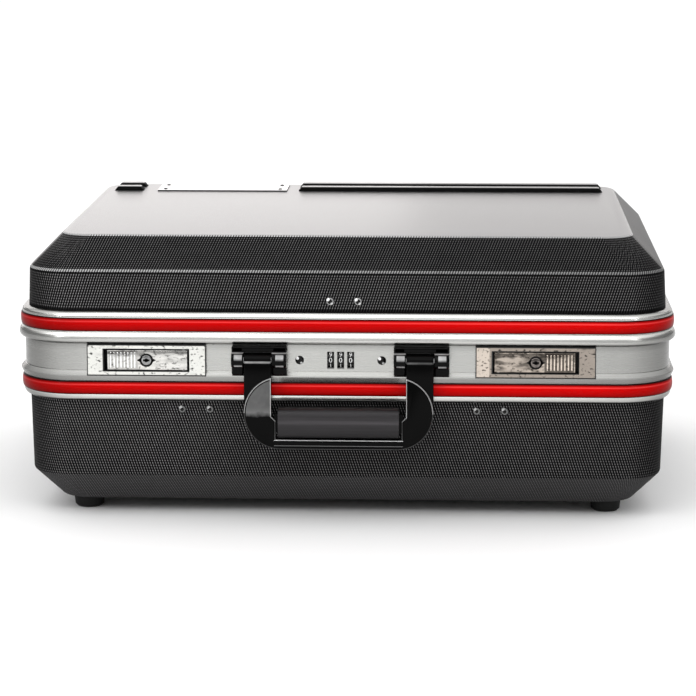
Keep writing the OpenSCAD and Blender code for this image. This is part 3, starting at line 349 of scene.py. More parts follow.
def brushed_finish(name):
    """Metal brushed along the frames, with painted highlights on the lips and bead, a duller band, and
    painted shade at the bends.
    """
    finish = Finish(name, Metallic=1.0)
    x, _, z = finish.place()
    fine = finish.noise(1.0, 4.0, (14, 14, 2600))
    broad = finish.noise(1.0, 2.0, (5, 5, 420))
    streak = (fine - 0.5) * 0.16 + (broad - 0.5) * 0.16
    height = (z - PART_Z + 0.045) / 0.070  # 0 at the lower lip's foot and 1 at the lid lip's top
    # Painted highlights and shade up the frame's profile: bright lips and bead, dark lines between.
    level = finish.ramp(height, [
        (0.01, 0.06), (0.035, 0.12), (0.048, 0.66), (0.075, 0.66), (0.086, 0.90), (0.10, 0.40),
        (0.24, 0.34), (0.29, 0.40), (0.31, 0.48), (0.36, 0.50), (0.57, 0.50), (0.62, 0.40),
        (0.66, 0.28), (0.67, 0.54), (0.71, 0.62), (0.73, 0.94), (0.94, 0.94), (0.955, 1.0),
        (0.968, 0.80), (0.98, 0.45), (0.992, 0.30)])
    # Painted shade: darker towards the bends at the corners.
    bend = finish.ramp(x * 2 + 0.5, [
        (0.01, 0.30), (0.04, 0.45), (0.07, 0.68), (0.11, 0.88), (0.16, 0.97), (0.45, 1.0), (0.82, 0.90),
        (0.92, 0.72), (0.96, 0.50), (0.99, 0.32)])
    finish.set("Base Color", finish.tint((1.0, 1.0, 0.965, 1), level * bend * (streak * 1.4 + 1)))
    finish.set("Roughness", streak + 0.26)
    finish.bump(fine, 0.00003, 0.5)
    return finish.material


satin_aluminium = brushed_finish("satin aluminium")


def dress(material, *nodes):
    """Gives CAD nodes their finish."""
    for name in nodes:
        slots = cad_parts[name].data.materials
        slots.clear()
        slots.append(material)


dress(satin_aluminium, "base_frame", "lid_frame")


# ---- Red trims ----
# A soft strip of glossy red vinyl is pressed into the channel of each frame. It runs all the
# way round and stands a little proud of the metal.

LOWER_TRIM_Z = PART_Z - 0.0336
LID_TRIM_Z = PART_Z + 0.0146
TRIM_H = 0.0102
FRAME_CORNER = 0.046


def trim_finish(name):
    """Glossy red, with a painted highlight along its upper half, painted shade towards its lower and upper
    edges and at the bends.
    """
    finish = Finish(name, Coat_Weight=0.04, Coat_Roughness=0.12, IOR=1.5, Specular_IOR_Level=0.03)
    x, _, z = finish.place()
    cloud = finish.noise(30.0)
    upper = z > PART_Z
    across = (z - upper * LID_TRIM_Z - (1 - upper) * LOWER_TRIM_Z) / TRIM_H + 0.5
    # Painted highlight and shade across the strip: dark at both edges, brightest in its upper half.
    red = finish.ramp(across, [
        (0.03, 0.03), (0.10, 0.26), (0.3, 0.42), (0.55, 0.54), (0.68, 0.62), (0.75, 0.90), (0.82, 0.60),
        (0.88, 0.36), (0.95, 0.02)])
    # A pale painted highlight, added in green and blue.
    line = finish.ramp(across, [(0.66, 0.0), (0.75, 0.055), (0.84, 0.0)])
    # Painted shade towards the bends at the corners.
    bend = finish.ramp(x * 2 + 0.5, [
        (0.0, 0.31), (0.05, 0.53), (0.11, 0.80), (0.16, 0.87), (0.45, 0.90), (0.65, 1.0), (0.88, 1.0),
        (0.96, 0.72), (1.0, 0.45)])
    red = red * bend * (1.06 + 0.16 * cloud)
    pale = line * bend
    finish.set("Base Color", finish.node("ShaderNodeCombineColor", {}, {0: red, 1: pale, 2: pale}))
    finish.set("Roughness", 0.30 + 0.10 * cloud)
    finish.bump(cloud, 0.00004, 0.4)
    return finish.material


red_vinyl = trim_finish("glossy red vinyl")


def trim_piece(name, middle, back, face, proud, body, node):
    """A trim strip: rings along its rounded front, and two at its back, a little closer together."""
    bm = bmesh.new()
    steps = 16
    lean = 0.0004
    levels = [(back, middle - TRIM_H / 2 + lean)]
    for step in range(steps + 1):
        turn = math.pi * (step / steps - 0.5)
        levels.append((face - proud * math.cos(turn), middle + TRIM_H / 2 * math.sin(turn)))
    levels.append((back, middle + TRIM_H / 2 - lean))
    rings = [case_ring(bm, inset, z, FRAME_CORNER - inset) for inset, z in levels]
    for lower, upper in zip(rings, rings[1:] + rings[:1]):
        bmesh.ops.bridge_loops(bm, edges=lower + upper)
    bmesh.ops.recalc_face_normals(bm, faces=bm.faces)
    piece(name, bm, red_vinyl, body, [node])


trim_piece("lower_trim", LOWER_TRIM_Z, 0.0054, 0.0029, 0.0014, "base", "base_trim")
trim_piece("lid_trim_strip", LID_TRIM_Z, 0.0052, 0.0023, 0.0012, "lid", "lid_trim")


# ---- Lid shell ----
# The lid is formed from the same grained sheet. Two raised ribs cross its rear part, broken
# by a gap for the name plate.

RIB_W = 0.012
RIB_TOP = TOP_Z + 0.0036
RIB_FOOT = TOP_Z - 0.0008
RIB_END_SLOPE = 0.0036
RIB_SIDE_SLOPE = 0.001

shell_piece(
    "lid_skin", [
        (SHELL_INSET, 0.1475, SHELL_CORNER), (SHELL_INSET, 0.1592, SHELL_CORNER),
        (LID_EDGE_INSET, LID_EDGE_Z, EDGE_CORNER), (0.0335, TOP_Z, FLAT_CORNER)],
    black_grain, "lid", ["lid_shell"])


def rib_finish(name):
    """Plain black slopes with a sheen on the rib's flat top."""
    finish = Finish(name, IOR=1.5, Specular_IOR_Level=0.02, Coat_Roughness=0.25, Roughness=0.6)
    _, _, z = finish.place()
    finish.set("Base Color", 0.002 + 0.02 * (finish.noise(600.0, 2.0) ** 3))
    finish.set("Coat Weight", z > RIB_TOP - 0.0004)
    return finish.material


rib_black = rib_finish("rib black")


def rib_piece(name, left, right, middle):
    """One raised rib: a low block with sloping ends and rounded edges."""
    bm = bmesh.new()
    rib = bmesh.ops.create_cube(bm, size=1.0)["verts"]
    bmesh.ops.scale(bm, vec=(right - left, RIB_W, RIB_TOP - RIB_FOOT), verts=rib)
    bmesh.ops.translate(bm, vec=((left + right) / 2, middle, (RIB_TOP + RIB_FOOT) / 2), verts=rib)
    upper = [v for v in rib if v.co.z > TOP_Z]
    for vert in upper:
        vert.co.x += math.copysign(RIB_END_SLOPE, (left + right) / 2 - vert.co.x)
        vert.co.y += math.copysign(RIB_SIDE_SLOPE, middle - vert.co.y)
    round_edges(bm, [e for e in bm.edges if any(v in upper for v in e.verts)], 0.0010)
    layer = bm.loops.layers.uv.new("grain")
    for face in bm.faces:
        for loop in face.loops:
            loop[layer].uv = (loop.vert.co.x, loop.vert.co.y + loop.vert.co.z)
    piece(name, bm, rib_black, "lid")


for row, middle in (("front", 0.1219), ("rear", 0.1469)):
    rib_piece(f"rib_{row}_short", -0.2093, -0.1829, middle)
    rib_piece(f"rib_{row}_long", -0.0523, 0.2069, middle)


# ---- Name plate ----
# A bare plate of satin metal lies in the gap between the ribs. It is cut from thin sheet and
# held by four small rivets.

def plate_finish(name):
    """Satin metal, its cut edge painted dark as shade."""
    finish = Finish(name)
    _, _, z = finish.place()
    fine = finish.noise(1.0, 4.0, (14, 2600, 14))
    edge = z < TOP_Z + 0.00098  # the plate's cut edge, under its face, painted dark as shade
    finish.set("Base Color", finish.mix(edge, finish.mix(fine, grey(0.44), grey(0.56)), grey(0.004)))
    finish.set("Metallic", 1 - edge)
    finish.set("Roughness", 0.24 + 0.08 * fine + 0.3 * edge)
    return finish.material


dress(plate_finish("satin plate"), "name_plate")


# ---- Latches ----
# Each latch is a chromed zinc housing let into the band and screwed from inside. Its lever
# lifts at the ribbed outer end and carries the key cylinder in the middle.

HARDWARE_X = -0.0024  # the middle of the latches, the lock and the handle's brackets
LATCH_Z = PART_Z - 0.0121
LATCH_FACE = CASE_Y - HALF_D + 0.0011
LATCH_SPREAD = 0.1458
PLATE_HALF_W = 0.0441
PLATE_HALF_H = 0.0111
POCKET_HALF_W = 0.0327
POCKET_HALF_H = 0.0088
LEVER_W = 0.0603
LEVER_H = 0.0151
LEVER_SHIFT = 0.00065  # how far a lever's middle lies inward of its plate's
LEVER_RIDGES = 8
RIDGE_PITCH = 0.0026
KEY_R = 0.0038


def chrome_finish(name, level, roughness, wave=0.00002, flecks=0.0):
    """Bright metal with darker flecks, painted darker and warmer on the right as a painted reflection."""
    finish = Finish(name, Metallic=1.0)
    x, _, _ = finish.place()
    cloud = finish.noise(60.0)
    fleck = finish.ramp(finish.noise(330.0, 3.0, (1, 1, 1.6)), [(0.30, 0.0), (0.46, 1.0)])
    # Painted reflection: on the right the metal is painted darker and warmer.
    right = x > 0
    shade = (1 - (1 - fleck) * flecks * 0.9) * (1 - right * min(flecks, 0.42))
    warm = finish.mix(right, grey(1.0), (1.0, 1 - 0.14 * flecks, 1 - 0.22 * flecks, 1))
    finish.set("Base Color", finish.tint(warm, shade * (0.93 + 0.07 * cloud) * level))
    finish.set("Roughness", roughness + 0.06 * cloud)
    finish.bump(finish.noise(85.0, 1.0), wave, 0.6)
    return finish.material


def lever_finish(name, middle_x, outward, tone, dark_level):
    """Bright metal with ridges painted as highlights on a ground painted as shade at its lifting end, and
    darker blotches at the other.
    """
    finish = Finish(name, Metallic=1.0)
    x, y, _ = finish.place()
    cloud = finish.noise(60.0)
    fleck = finish.ramp(finish.noise(330.0, 3.0, (1, 1, 1.6)), [(0.30, 0.15), (0.46, 1.0)])
    blot = finish.ramp(finish.noise(1.0, 3.0, (70, 70, 190)), [(0.42, dark_level), (0.56, 1.0)])
    along = (x - middle_x) * outward
    ridged = (along > 0.0065) * (along < 0.0285)
    # Painted highlights on the ridges' tops and painted shade on the ground between them.
    ridge = ridged * (y < LATCH_FACE + 0.00025)
    level = (ridged * (1 - ridge) * dark_level * 0.9 + ridge * 1.9 + (1 - ridged) * blot) * fleck
    finish.set("Base Color", finish.tint(tone, level.maths("MINIMUM", 1.6)))
    finish.set("Roughness", 0.12 + 0.06 * cloud)
    finish.bump(finish.noise(85.0, 1.0), 0.0018, 0.6)
    return finish.material


# The right lever's browner, darker tone is a painted reflection.
lever_tones = {"left": ((0.72, 0.71, 0.68, 1), 0.75), "right": ((0.46, 0.40, 0.345, 1), 0.30)}
key_chrome = chrome_finish("key chrome", 0.34, 0.12, 0.0018, 0.8)
dark_steel = chrome_finish("dark steel", 0.015, 0.3)


def block(bm, size, middle, bevel=0.0, segments=3, edges=None):
    """A block of a size round its middle, with softened edges."""
    made = bmesh.ops.create_cube(bm, size=1.0)["verts"]
    bmesh.ops.scale(bm, vec=size, verts=made)
    bmesh.ops.translate(bm, vec=middle, verts=made)
    if bevel:
        own = [e for e in bm.edges if e.verts[0] in made]
        round_edges(bm, [e for e in own if edges is None or edges(e)], bevel, segments)


def rod(bm, radius, length, middle, turn, steps=40):
    """A round rod round its middle, turned to lie along Y or X."""
    made = bmesh.ops.create_cone(
        bm, cap_ends=True, segments=steps, radius1=radius, radius2=radius, depth=length)["verts"]
    bmesh.ops.rotate(bm, cent=(0, 0, 0), matrix=turn, verts=made)
    bmesh.ops.translate(bm, vec=middle, verts=made)
    return made


along_y = Matrix.Rotation(-math.pi / 2, 3, "X")
along_x = Matrix.Rotation(math.pi / 2, 3, "Y")

for side, outward in (("left", -1), ("right", 1)):
    middle_x = HARDWARE_X + outward * LATCH_SPREAD
    lever_x = middle_x - outward * LEVER_SHIFT
    lift_x = lever_x + outward * LEVER_W / 2
    bm = bmesh.new()
    block(bm, (LEVER_W, 0.0028, LEVER_H), (lever_x, LATCH_FACE + 0.0018, LATCH_Z), 0.0005)
    for ridge in range(LEVER_RIDGES):
        ridge_x = lift_x - outward * RIDGE_PITCH * (ridge + 1)
        block(bm, (0.0012, 0.0010, 0.0120), (ridge_x, LATCH_FACE + 0.0004, LATCH_Z), 0.0004)
    block(bm, (0.002, 0.0106, 0.005), (middle_x - outward * 0.0278, LATCH_FACE + 0.0085, LATCH_Z), 0.0003)
    rod(bm, 0.0053, 0.0030, (middle_x, LATCH_FACE + 0.0047, LATCH_Z), along_y)
    lever_metal = lever_finish(f"{side} lever chrome", middle_x, outward, *lever_tones[side])
    piece(f"lever_{side}", bm, lever_metal, f"{side}_lever", [f"latch_{side}_lever"])

    bm = bmesh.new()
    rod(bm, 0.0051, 0.0003, (middle_x, LATCH_FACE + 0.00025, LATCH_Z), along_y)
    for point in (-1, 1):
        tip = bmesh.ops.create_cone(
            bm, cap_ends=True, segments=3, radius1=0.0030, radius2=0.0030, depth=0.0003)["verts"]
        bmesh.ops.rotate(bm, cent=(0, 0, 0), matrix=Matrix.Rotation(math.pi / 2, 3, "X"), verts=tip)
        bmesh.ops.rotate(bm, cent=(0, 0, 0), matrix=Matrix.Rotation(point * math.pi / 2, 3, "Y"), verts=tip)
        bmesh.ops.translate(bm, vec=(middle_x + point * 0.0042, LATCH_FACE + 0.00025, LATCH_Z), verts=tip)
    piece(f"key_surround_{side}", bm, dark_steel, f"{side}_lever")

    bm = bmesh.new()
    rod(bm, KEY_R, 0.0068, (middle_x, LATCH_FACE + 0.0032, LATCH_Z), along_y)
    round_edges(bm, [e for e in bm.edges if all(v.co.y < LATCH_FACE for v in e.verts)], 0.0005)
    cylinder = f"{side}_cylinder"
    piece(f"key_cylinder_{side}", bm, key_chrome, cylinder, [f"latch_{cylinder}"])

    # The keyway is a thin dark plate on the cylinder's face, standing for the shade inside the keyhole.
    bm = bmesh.new()
    block(bm, (0.0050, 0.0003, 0.0015), (middle_x, LATCH_FACE - 0.00025, LATCH_Z), 0.0001)
    rod(bm, 0.0015, 0.0003, (middle_x, LATCH_FACE - 0.00025, LATCH_Z), along_y, 20)
    piece(f"keyway_{side}", bm, dark_steel, cylinder)


def housing_finish(name, middle_x):
    """Satin chrome on the plate's face, with painted shade round its edges and in the lever's recess; the
    right plate is painted browner with a paler inner end, as painted reflections.
    """
    finish = Finish(name)
    x, y, z = finish.place()
    cloud = finish.noise(60.0)
    fleck = finish.ramp(finish.noise(330.0, 3.0, (1, 1, 1.6)), [(0.32, 0.1), (0.44, 1.0)])
    # Painted shade round the plate's edges, in the lever's recess and behind the face.
    joint_shade = (abs(x - middle_x) > PLATE_HALF_W) + (abs(z - LATCH_Z) > PLATE_HALF_H)
    pocket = (abs(x - middle_x + 0.0003) < POCKET_HALF_W) * (abs(z - LATCH_Z) < POCKET_HALF_H)
    dark = (joint_shade + pocket + (y > LATCH_FACE + 0.00015)).maths("MINIMUM", 1)
    # Painted reflection: the right plate is browner and paler at its inner end.
    pale = (x - middle_x < -0.0345) * 0.85 + 1 if middle_x > 0 else 1
    tone = (1.0, 1.0, 0.95, 1) if middle_x < 0 else (0.44, 0.385, 0.335, 1)
    face = finish.tint(tone, fleck * (0.68 + 0.08 * cloud) * pale)
    finish.set("Base Color", finish.mix(dark, face, grey(0.004)))
    finish.set("Metallic", 1 - dark)
    finish.set("Roughness", 0.10 + 0.06 * cloud + 0.4 * dark)
    finish.bump(finish.noise(85.0, 1.0), 0.0018, 0.6)
    return finish.material


dress(housing_finish("left housing chrome", HARDWARE_X - LATCH_SPREAD), "latch_left_housing")
dress(housing_finish("right housing chrome", HARDWARE_X + LATCH_SPREAD), "latch_right_housing")


# ---- Dial lock ----
# Three black number wheels stand in windows of the band between two dome-head screws.
# The lock body, its shaft and the sliding catch are inside.

DIAL_Z = PART_Z - 0.0117
DIAL_Y = LATCH_FACE + 0.0095
DIAL_PITCH = 0.0075
DIAL_R = 0.00702
DIGIT_SIZE = 0.0052
SCREW_SPREAD = 0.0308


def black_finish(name, level, roughness, depth=0.00003, shine=0.5):
    """Even plastic, rubber or paint with a little cloud in it."""
    finish = Finish(name, IOR=1.5, Specular_IOR_Level=shine)
    cloud = finish.noise(90.0, 4.0)
    finish.set("Base Color", finish.mix(cloud, grey(level * 0.7), grey(level * 1.3)))
    finish.set("Roughness", roughness * 0.85 + roughness * 0.3 * cloud)
    finish.bump(cloud, depth, 0.5)
    return finish.material


dial_black = black_finish("dial black", 0.003, 0.18, shine=0.3)
digit_white = black_finish("digit white", 0.75, 0.4)
dress(dial_black, "dial_1", "dial_2", "dial_3")

for place, body in ((-1, "dial_a"), (0, "dial_b"), (1, "dial_c")):
    middle_x = HARDWARE_X + place * DIAL_PITCH
    bm = bmesh.new()
    for digit in range(10):
        curve = bpy.data.curves.new("digit", "FONT")
        curve.body = str(digit)
        curve.size = DIGIT_SIZE
        curve.extrude = 0.00004
        curve.align_x = "CENTER"
        curve.align_y = "CENTER"
        made = bpy.data.objects.new("digit", curve)
        bpy.context.scene.collection.objects.link(made)
        bpy.context.view_layer.update()
        shape = bpy.data.meshes.new_from_object(made)
        shape.transform(Matrix.Translation((0, 0, DIAL_R)))
        shape.transform(Matrix.Rotation(math.pi / 2 + math.radians(36 * digit), 4, "X"))
        shape.transform(Matrix.Translation((middle_x, DIAL_Y, DIAL_Z)))
        bm.from_mesh(shape)
        bpy.data.objects.remove(made)
        bpy.data.curves.remove(curve)
        bpy.data.meshes.remove(shape)
    piece(f"digits_{body[-1]}", bm, digit_white, body)


def dome_finish(name, radius, folds, middle_z, shines):
    """Dark glossy domes with painted highlights, painted as one by folding the row on itself.

    A fold is its middle and how far the two domes, or pairs, stand from it. A shine is a painted
    highlight, a spot or a ring: its place, its reach from and to, and its strength.
    """
    finish = Finish(name, IOR=1.5, Specular_IOR_Level=0.2, Roughness=0.12)
    x, _, z = finish.place()
    for middle, reach in folds:
        x = x - middle
        x = x - x.maths("SIGN") * reach
    x, z = x / radius, (z - middle_z) / radius
    shine = 0
    for (right, up), least, most, strength in shines:
        away = ((x - right) * (x - right) + (z - up) * (z - up)) ** 0.5
        shine = (away > least) * (away < most) * strength + shine
    finish.set("Base Color", shine + 0.003)
    return finish.material


dress(dome_finish(
    "lock dome", 0.0033, [(HARDWARE_X, SCREW_SPREAD)], DIAL_Z,
    [((-0.50, 0.50), -1, 0.36, 0.95), ((0.40, -0.56), -1, 0.27, 0.6)]), "lock_screws")
dress(black_finish("plate rivet", 0.002, 0.7, 0.00002, 0.0), "plate_rivets")


# ---- Handle brackets ----
# Glossy black brackets are screwed to the band from inside. Each has a top bar and two
# knuckles that hold the handle's steel pin.

BAND_Y = CASE_Y - HALF_D + 0.0044
PIN_Z = PART_Z - 0.0104
HANDLE_X = -0.0035
BRACKET_SPREAD = 0.0607
BRACKET_W = 0.0414
BRACKET_DEPTH = 0.0075
BRACKET_H = 0.0218
PIN_Y = BAND_Y - BRACKET_DEPTH
BRACKET_Z = PIN_Z - 0.0009


def bracket_finish(name):
    """Glossy black with painted highlights on the knuckles and along the top bar's edge."""
    finish = Finish(name, IOR=1.5, Specular_IOR_Level=0.08)
    x, y, z = finish.place()
    cloud = finish.noise(160.0)
    over = (z - PIN_Z + 0.0125) / 0.025
    # Painted highlights across the knuckles, and painted highlight lines along the top bar.
    bands = finish.ramp(over, [
        (0.30, 0.0), (0.33, 0.40), (0.38, 0.0), (0.50, 0.0), (0.58, 0.42), (0.66, 0.36), (0.69, 0.0)])
    lines = finish.ramp(over, [
        (0.70, 0.0), (0.72, 0.30), (0.74, 0.0), (0.90, 0.0), (0.93, 0.10), (0.96, 0.02)])
    along = abs(abs(x - HARDWARE_X) - BRACKET_SPREAD)
    knuckle = (along > 0.0125) * (along < 0.0185)
    out = y < BAND_Y - 0.003
    finish.set("Base Color", (bands * knuckle + lines) * out * (0.3 + 1.4 * cloud) + 0.002)
    finish.set("Roughness", 0.10 + 0.05 * cloud)
    finish.bump(cloud, 0.00002, 0.5)
    return finish.material


bracket_black = bracket_finish("bracket black")
for side, outward in (("left", -1), ("right", 1)):
    middle_x = HARDWARE_X + outward * BRACKET_SPREAD
    middle_y = BAND_Y - BRACKET_DEPTH / 2
    bm = bmesh.new()
    block(bm, (BRACKET_W, 0.0030, BRACKET_H), (middle_x, BAND_Y - 0.0015, BRACKET_Z), 0.0009)
    block(bm, (BRACKET_W, BRACKET_DEPTH, 0.0044), (middle_x, middle_y, PIN_Z + 0.0078), 0.0010)
    for ear, ear_w in ((-1, 0.0090), (1, 0.0112)):
        ear_x = middle_x + ear * (BRACKET_W - ear_w) / 2
        block(bm, (ear_w, BRACKET_DEPTH, BRACKET_H), (ear_x, middle_y, BRACKET_Z), 0.0012)
        knuckle = rod(bm, 0.006, ear_w, (ear_x, PIN_Y, PIN_Z), along_x, 48)
        own = [e for e in bm.edges if e.verts[0] in knuckle]
        round_edges(bm, [e for e in own if abs(e.verts[0].co.x - e.verts[1].co.x) < 1e-6], 0.0007)
    replaced = [f"handle_bracket_{side}"]
    piece(f"bracket_{side}", bm, bracket_black, "base", replaced)


# ---- Handle ----
# The moulded bow hangs from two arms. Its ends are thick rounded cheeks that stand in front
# of the arms, and a flat bar joins them under the grip.

ARM_X = 0.0607
ARM_W = 0.0204
BOW_END = 0.0433  # from the handle's middle to the middle of each rounded cheek
BOW_RADIUS = 0.0276
BOW_Z = PIN_Z - 0.0668
BAR_TOP = BOW_Z + 0.0073
INNER = 0.0505  # from the handle's middle to each cheek's inner side
NOTCH = 0.0033
STEP_DROP = 0.0026
CHEEK_Z = BOW_Z + BOW_RADIUS
BOW_BACK = BAND_Y - 0.0042
BOW_DEPTH = 0.0108
BOW_FRONT = BOW_BACK - BOW_DEPTH + 0.0011  # just behind the front face
GRIP_Y = BAND_Y - 0.0096
GRIP_Z = PIN_Z - 0.0470
GRIP_H = 0.0224


def bow_finish(name):
    """Glossy black with painted highlight lines along its front edges, a painted sheen on the left cheek
    and painted highlights across the arms' tops.
    """
    finish = Finish(name, IOR=1.5, Specular_IOR_Level=0.06)
    x, y, z = finish.place()
    cloud = finish.noise(130.0)
    out = abs(x - HANDLE_X)
    left = x < HANDLE_X
    beyond = (out - BOW_END).maths("MAXIMUM", 0)
    rim = ((beyond ** 2) + ((z - CHEEK_Z) ** 2)) ** 0.5
    front = y < BOW_FRONT
    bar = out < INNER - NOTCH + 0.0010
    # Painted highlight lines along the bow's front edges.
    arc = (rim > BOW_RADIUS - 0.0008) * (out > BOW_END) * (0.05 + 0.25 * (z > CHEEK_Z))
    foot_line = (z < BOW_Z + 0.0007) * (out < BOW_END) * 0.08
    edge = (out > INNER) * (out < INNER + 0.0006) * (z > CHEEK_Z - STEP_DROP) * 0.42
    notch = (out > INNER - NOTCH) * (out < INNER - NOTCH + 0.0006) * (z < CHEEK_Z - 0.0055)
    notch = notch * (z > BAR_TOP) * 0.12
    step = (out > INNER - NOTCH) * (out < INNER + 0.0006) * (z < CHEEK_Z - STEP_DROP)
    step = step * (z > CHEEK_Z - 0.0062)
    step = step * (abs(z - CHEEK_Z + STEP_DROP - (out - INNER)) < 0.0008) * 0.35
    shelf = bar * (z < BAR_TOP) * (z > BAR_TOP - 0.0006) * 0.6
    crease = bar * (abs(z - BAR_TOP + 0.0044) < 0.00025) * 0.14
    lines = (arc + foot_line + edge + notch + step + shelf + crease) * front
    # Painted sheen on the left cheek.
    height = (z - CHEEK_Z + 0.006 * (cloud - 0.5)) * 100 + 0.5
    sheen = finish.ramp(height, [(0.20, 0.0), (0.60, 0.15), (1.0, 0.11)])
    sheen = sheen * left * front * (out > INNER) * (rim < BOW_RADIUS - 0.0016)
    # Painted highlight across the arms' tops near the pin.
    root = finish.ramp((z - PIN_Z) * 100 + 0.5, [(0.28, 0.0), (0.36, 0.30), (0.44, 0.40), (0.48, 0.0)])
    root = root * (0.2 + 1.2 * cloud) * (y > BOW_FRONT) * (out > INNER) * (0.3 + 0.7 * left)
    finish.set("Base Color", lines + sheen * (0.6 + 0.8 * cloud) + root + 0.0015)
    finish.set("Roughness", 0.08 + 0.05 * cloud)
    finish.bump(cloud, 0.00002, 0.5)
    return finish.material


def half_bow_wire(bm):
    """The right half of the bow's front outline, open in the middle where the left half meets it."""
    rise = math.sqrt(BOW_RADIUS ** 2 - (INNER - BOW_END) ** 2)
    start = bm.verts.new((INNER, 0, CHEEK_Z + rise))
    turn = math.atan2(rise, INNER - BOW_END) + math.pi / 2
    bmesh.ops.spin(
        bm, geom=[start], cent=(BOW_END, 0, CHEEK_Z), axis=(0, 1, 0), dvec=(0, 0, 0), angle=turn, steps=44,
        use_merge=False, use_duplicate=False)
    last = min(bm.verts, key=lambda v: v.co.z)
    inner = [
        (0, BOW_Z), None, (0, BAR_TOP), (INNER - NOTCH, BAR_TOP),
        (INNER - NOTCH, CHEEK_Z - STEP_DROP - NOTCH), (INNER, CHEEK_Z - STEP_DROP)]
    for point in inner:
        if point is None:
            last = None
            continue
        vert = bm.verts.new((point[0], 0, point[1]))
        if last:
            bm.edges.new((last, vert))
        last = vert
    bm.edges.new((last, start))


bm = bmesh.new()
half_bow_wire(bm)
wire = bm.verts[:] + bm.edges[:]
bmesh.ops.mirror(bm, geom=wire, matrix=Matrix.Identity(4), merge_dist=1e-6, axis="X")
bmesh.ops.remove_doubles(bm, verts=bm.verts, dist=1e-6)
bmesh.ops.contextual_create(bm, geom=bm.edges[:])
bmesh.ops.translate(bm, vec=(HANDLE_X, BOW_BACK, 0), verts=bm.verts)
pushed = bmesh.ops.extrude_face_region(bm, geom=bm.faces[:])["geom"]
front = [g for g in pushed if isinstance(g, bmesh.types.BMVert)]
bmesh.ops.translate(bm, vec=(0, -BOW_DEPTH, 0), verts=front)
bmesh.ops.recalc_face_normals(bm, faces=bm.faces)
round_edges(bm, [e for e in bm.edges if abs(e.verts[0].co.y - e.verts[1].co.y) < 1e-7], 0.0013)
arm_top = PIN_Z + 0.0006
for outward in (-1, 1):
    arm_x = HANDLE_X + outward * ARM_X
    arm_middle = (arm_x, BAND_Y - 0.0083, (arm_top + CHEEK_Z) / 2)
    block(bm, (ARM_W, 0.0086, arm_top - CHEEK_Z), arm_middle, 0.0014)
    rod(bm, 0.0042, ARM_W, (arm_x, PIN_Y, PIN_Z), along_x)
block(bm, (0.0964, 0.0050, 0.0140), (HANDLE_X, GRIP_Y, GRIP_Z))
piece("bow", bm, bow_finish("bow black"), "handle", ["handle_bow"])


def grip_finish(name):
    """Matt dark rubber with a painted highlight along its middle, painted shade towards its top and bottom
    edges, and faint streaks along it.
    """
    finish = Finish(name, IOR=1.5, Specular_IOR_Level=0.2, Roughness=0.45)
    _, _, z = finish.place()
    streaks = finish.noise(1.0, 3.0, (18, 18, 700))
    # Painted highlight along the middle and painted shade towards the top and bottom edges.
    level = finish.ramp((z - GRIP_Z) / GRIP_H + 0.5, [
        (0.02, 0.004), (0.12, 0.018), (0.45, 0.030), (0.55, 0.062), (0.66, 0.034), (0.90, 0.028),
        (0.99, 0.008)])
    tone = finish.mix(level * (0.6 + 0.8 * streaks), grey(0.0), (1.0, 0.93, 1.0, 1))
    finish.set("Base Color", tone)
    finish.bump(finish.noise(220.0, 4.0), 0.00006, 0.5)
    return finish.material


bm = bmesh.new()
block(
    bm, (0.0906, 0.0160, GRIP_H), (0, 0, 0), 0.0055, 7,
    lambda e: abs(e.verts[0].co.x - e.verts[1].co.x) > 0.05)
round_edges(bm, [e for e in bm.edges if abs(e.verts[0].co.x - e.verts[1].co.x) < 1e-6], 0.0006, 2)
bmesh.ops.translate(bm, vec=(HANDLE_X, GRIP_Y, GRIP_Z), verts=bm.verts)
piece("grip_sleeve", bm, grip_finish("matt dark grip"), "handle", ["handle_grip"])


# ---- Rivets, feet and inner metal ----
# Black-headed rivets hold the inner angle plates. Four rubber feet are screwed on from inside.
# Hinges, stays, strikers and screws are plain plated steel.

RIVET_R = 0.0030
RIVET_SPREAD = 0.0105
PAIR_SPREAD = 0.1110

dress(dome_finish(
    "base rivet", RIVET_R, [(-0.0008, PAIR_SPREAD), (0, RIVET_SPREAD)], PART_Z - 0.0506,
    [((0, 0), 0.45, 0.85, 0.16), ((-0.45, 0.60), -1, 0.40, 0.35)]), "base_rivets")
dress(dome_finish(
    "lid rivet", RIVET_R, [(0, RIVET_SPREAD)], PART_Z + 0.0324,
    [((0, 0), 0.60, 0.90, 0.30), ((-0.50, 0.50), -1, 0.42, 0.75), ((0.45, -0.55), -1, 0.34, 0.5)]),
    "lid_rivets")
dress(black_finish("matt black rubber", 0.008, 0.6, shine=0.2), "feet", "lid_seal")
plated_steel = chrome_finish("plated steel", 0.55, 0.28)
dress(
    plated_steel, "foot_screws", "base_clips", "handle_pin_left", "handle_pin_right", "bracket_screws",
    "latch_left_pin", "latch_right_pin", "latch_screws", "lock_body", "lock_shaft", "stay_base_pivots",
    "lid_clip", "latch_left_striker", "latch_right_striker", "lock_catch", "stay_lid_pivots",
    "latch_left_bolt", "latch_right_bolt", "lock_slide", "stay_left_base_link", "stay_right_base_link",
    "stay_left_lid_link", "stay_right_lid_link")
nickel = chrome_finish("nickel", 0.72, 0.2)
dress(
    nickel, "hinge_left_base_leaf", "hinge_right_base_leaf", "hinge_left_pin", "hinge_right_pin",
    "hinge_base_rivets", "hinge_left_lid_leaf", "hinge_right_lid_leaf", "hinge_lid_rivets")


# ---- Studio ----
# The case stands on a pale floor among soft lamps. The panels in front of it and behind it
# light nothing and only show as shines.

bm = bmesh.new()
bmesh.ops.create_grid(bm, x_segments=1, y_segments=1, size=20.0)
floor_mesh = bpy.data.meshes.new("floor")
bm.to_mesh(floor_mesh)
bm.free()
floor = bpy.data.objects.new("floor", floor_mesh)
bpy.context.scene.collection.objects.link(floor)
floor_paint = Finish("pale floor", Roughness=0.9)
floor_paint.set("Base Color", floor_paint.mix(floor_paint.noise(2.0), grey(0.90), grey(0.92)))
floor_mesh.materials.append(floor_paint.material)

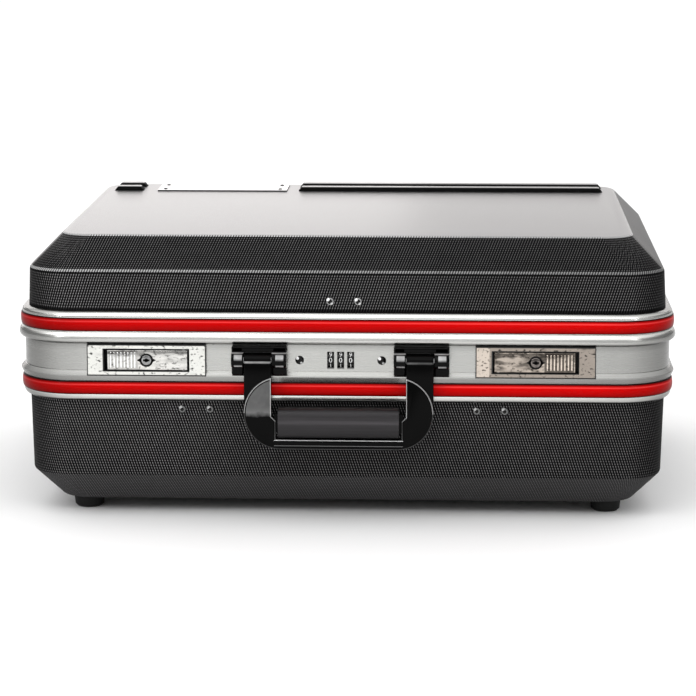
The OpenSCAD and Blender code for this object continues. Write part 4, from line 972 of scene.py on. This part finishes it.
world = bpy.data.worlds.new("studio")
bpy.context.scene.world = world
world.use_nodes = True
world.node_tree.nodes["Background"].inputs["Color"].default_value = (1, 1, 1, 1)
world.node_tree.nodes["Background"].inputs["Strength"].default_value = 0.35
bpy.context.scene.view_settings.view_transform = "Standard"


def lamp(name, size, power, place, target, lights=True, color=(1, 1, 1)):
    """A soft square lamp that faces a point, or a panel that only shows as a shine."""
    light = bpy.data.lights.new(name, "AREA")
    light.shape = "RECTANGLE"
    light.size, light.size_y = size
    light.energy = power
    light.color = color
    made = bpy.data.objects.new(name, light)
    bpy.context.scene.collection.objects.link(made)
    made.location = place
    made.rotation_euler = (Vector(target) - Vector(place)).to_track_quat("-Z", "Y").to_euler()
    made.visible_camera = False
    made.visible_diffuse = lights


lamp("ceiling", (22, 20), 1500, (0, 4.2, 6.0), (0, 4.2, 0))
lamp("key", (1.6, 1.2), 3, (-0.9, -1.6, 1.7), (0, 0, 0.1))
lamp("strip", (3.2, 0.16), 6, (-0.2, -1.1, 1.25), (0, -0.2, 0.1))
lamp("left edge", (0.12, 1.0), 2.5, (-1.1, -1.5, 0.8), (0, -0.2, 0.1))
lamp("right edge", (0.10, 1.0), 1.6, (1.3, -1.5, 0.7), (0, -0.2, 0.1))
lamp("front panel", (6.0, 1.8), 30, (0, -3.0, 1.9), (0, 0, 0.15), False)
lamp("back left", (2.2, 1.6), 20, (-1.1, 2.4, 1.05), (-1.1, 0, 0.2), False, (1.0, 0.96, 0.95))
lamp("back right", (2.0, 1.6), 11.6, (1.0, 2.4, 1.05), (1.0, 0, 0.2), False, (1.0, 0.96, 0.95))

camera = bpy.data.objects.new("camera", bpy.data.cameras.new("camera"))
bpy.context.scene.collection.objects.link(camera)
camera.data.lens = 141.28
camera.data.sensor_width = 36.0
swing = Matrix.Rotation(0.04236, 4, "Z")
tilt = Matrix.Rotation(math.pi / 2 - 0.18160, 4, "X")
roll = Matrix.Rotation(-0.000887, 4, "Z")
camera.matrix_world = Matrix.Translation((0.08825, CASE_Y - 2.19586, 0.50170)) @ swing @ tilt @ roll
bpy.context.scene.camera = camera
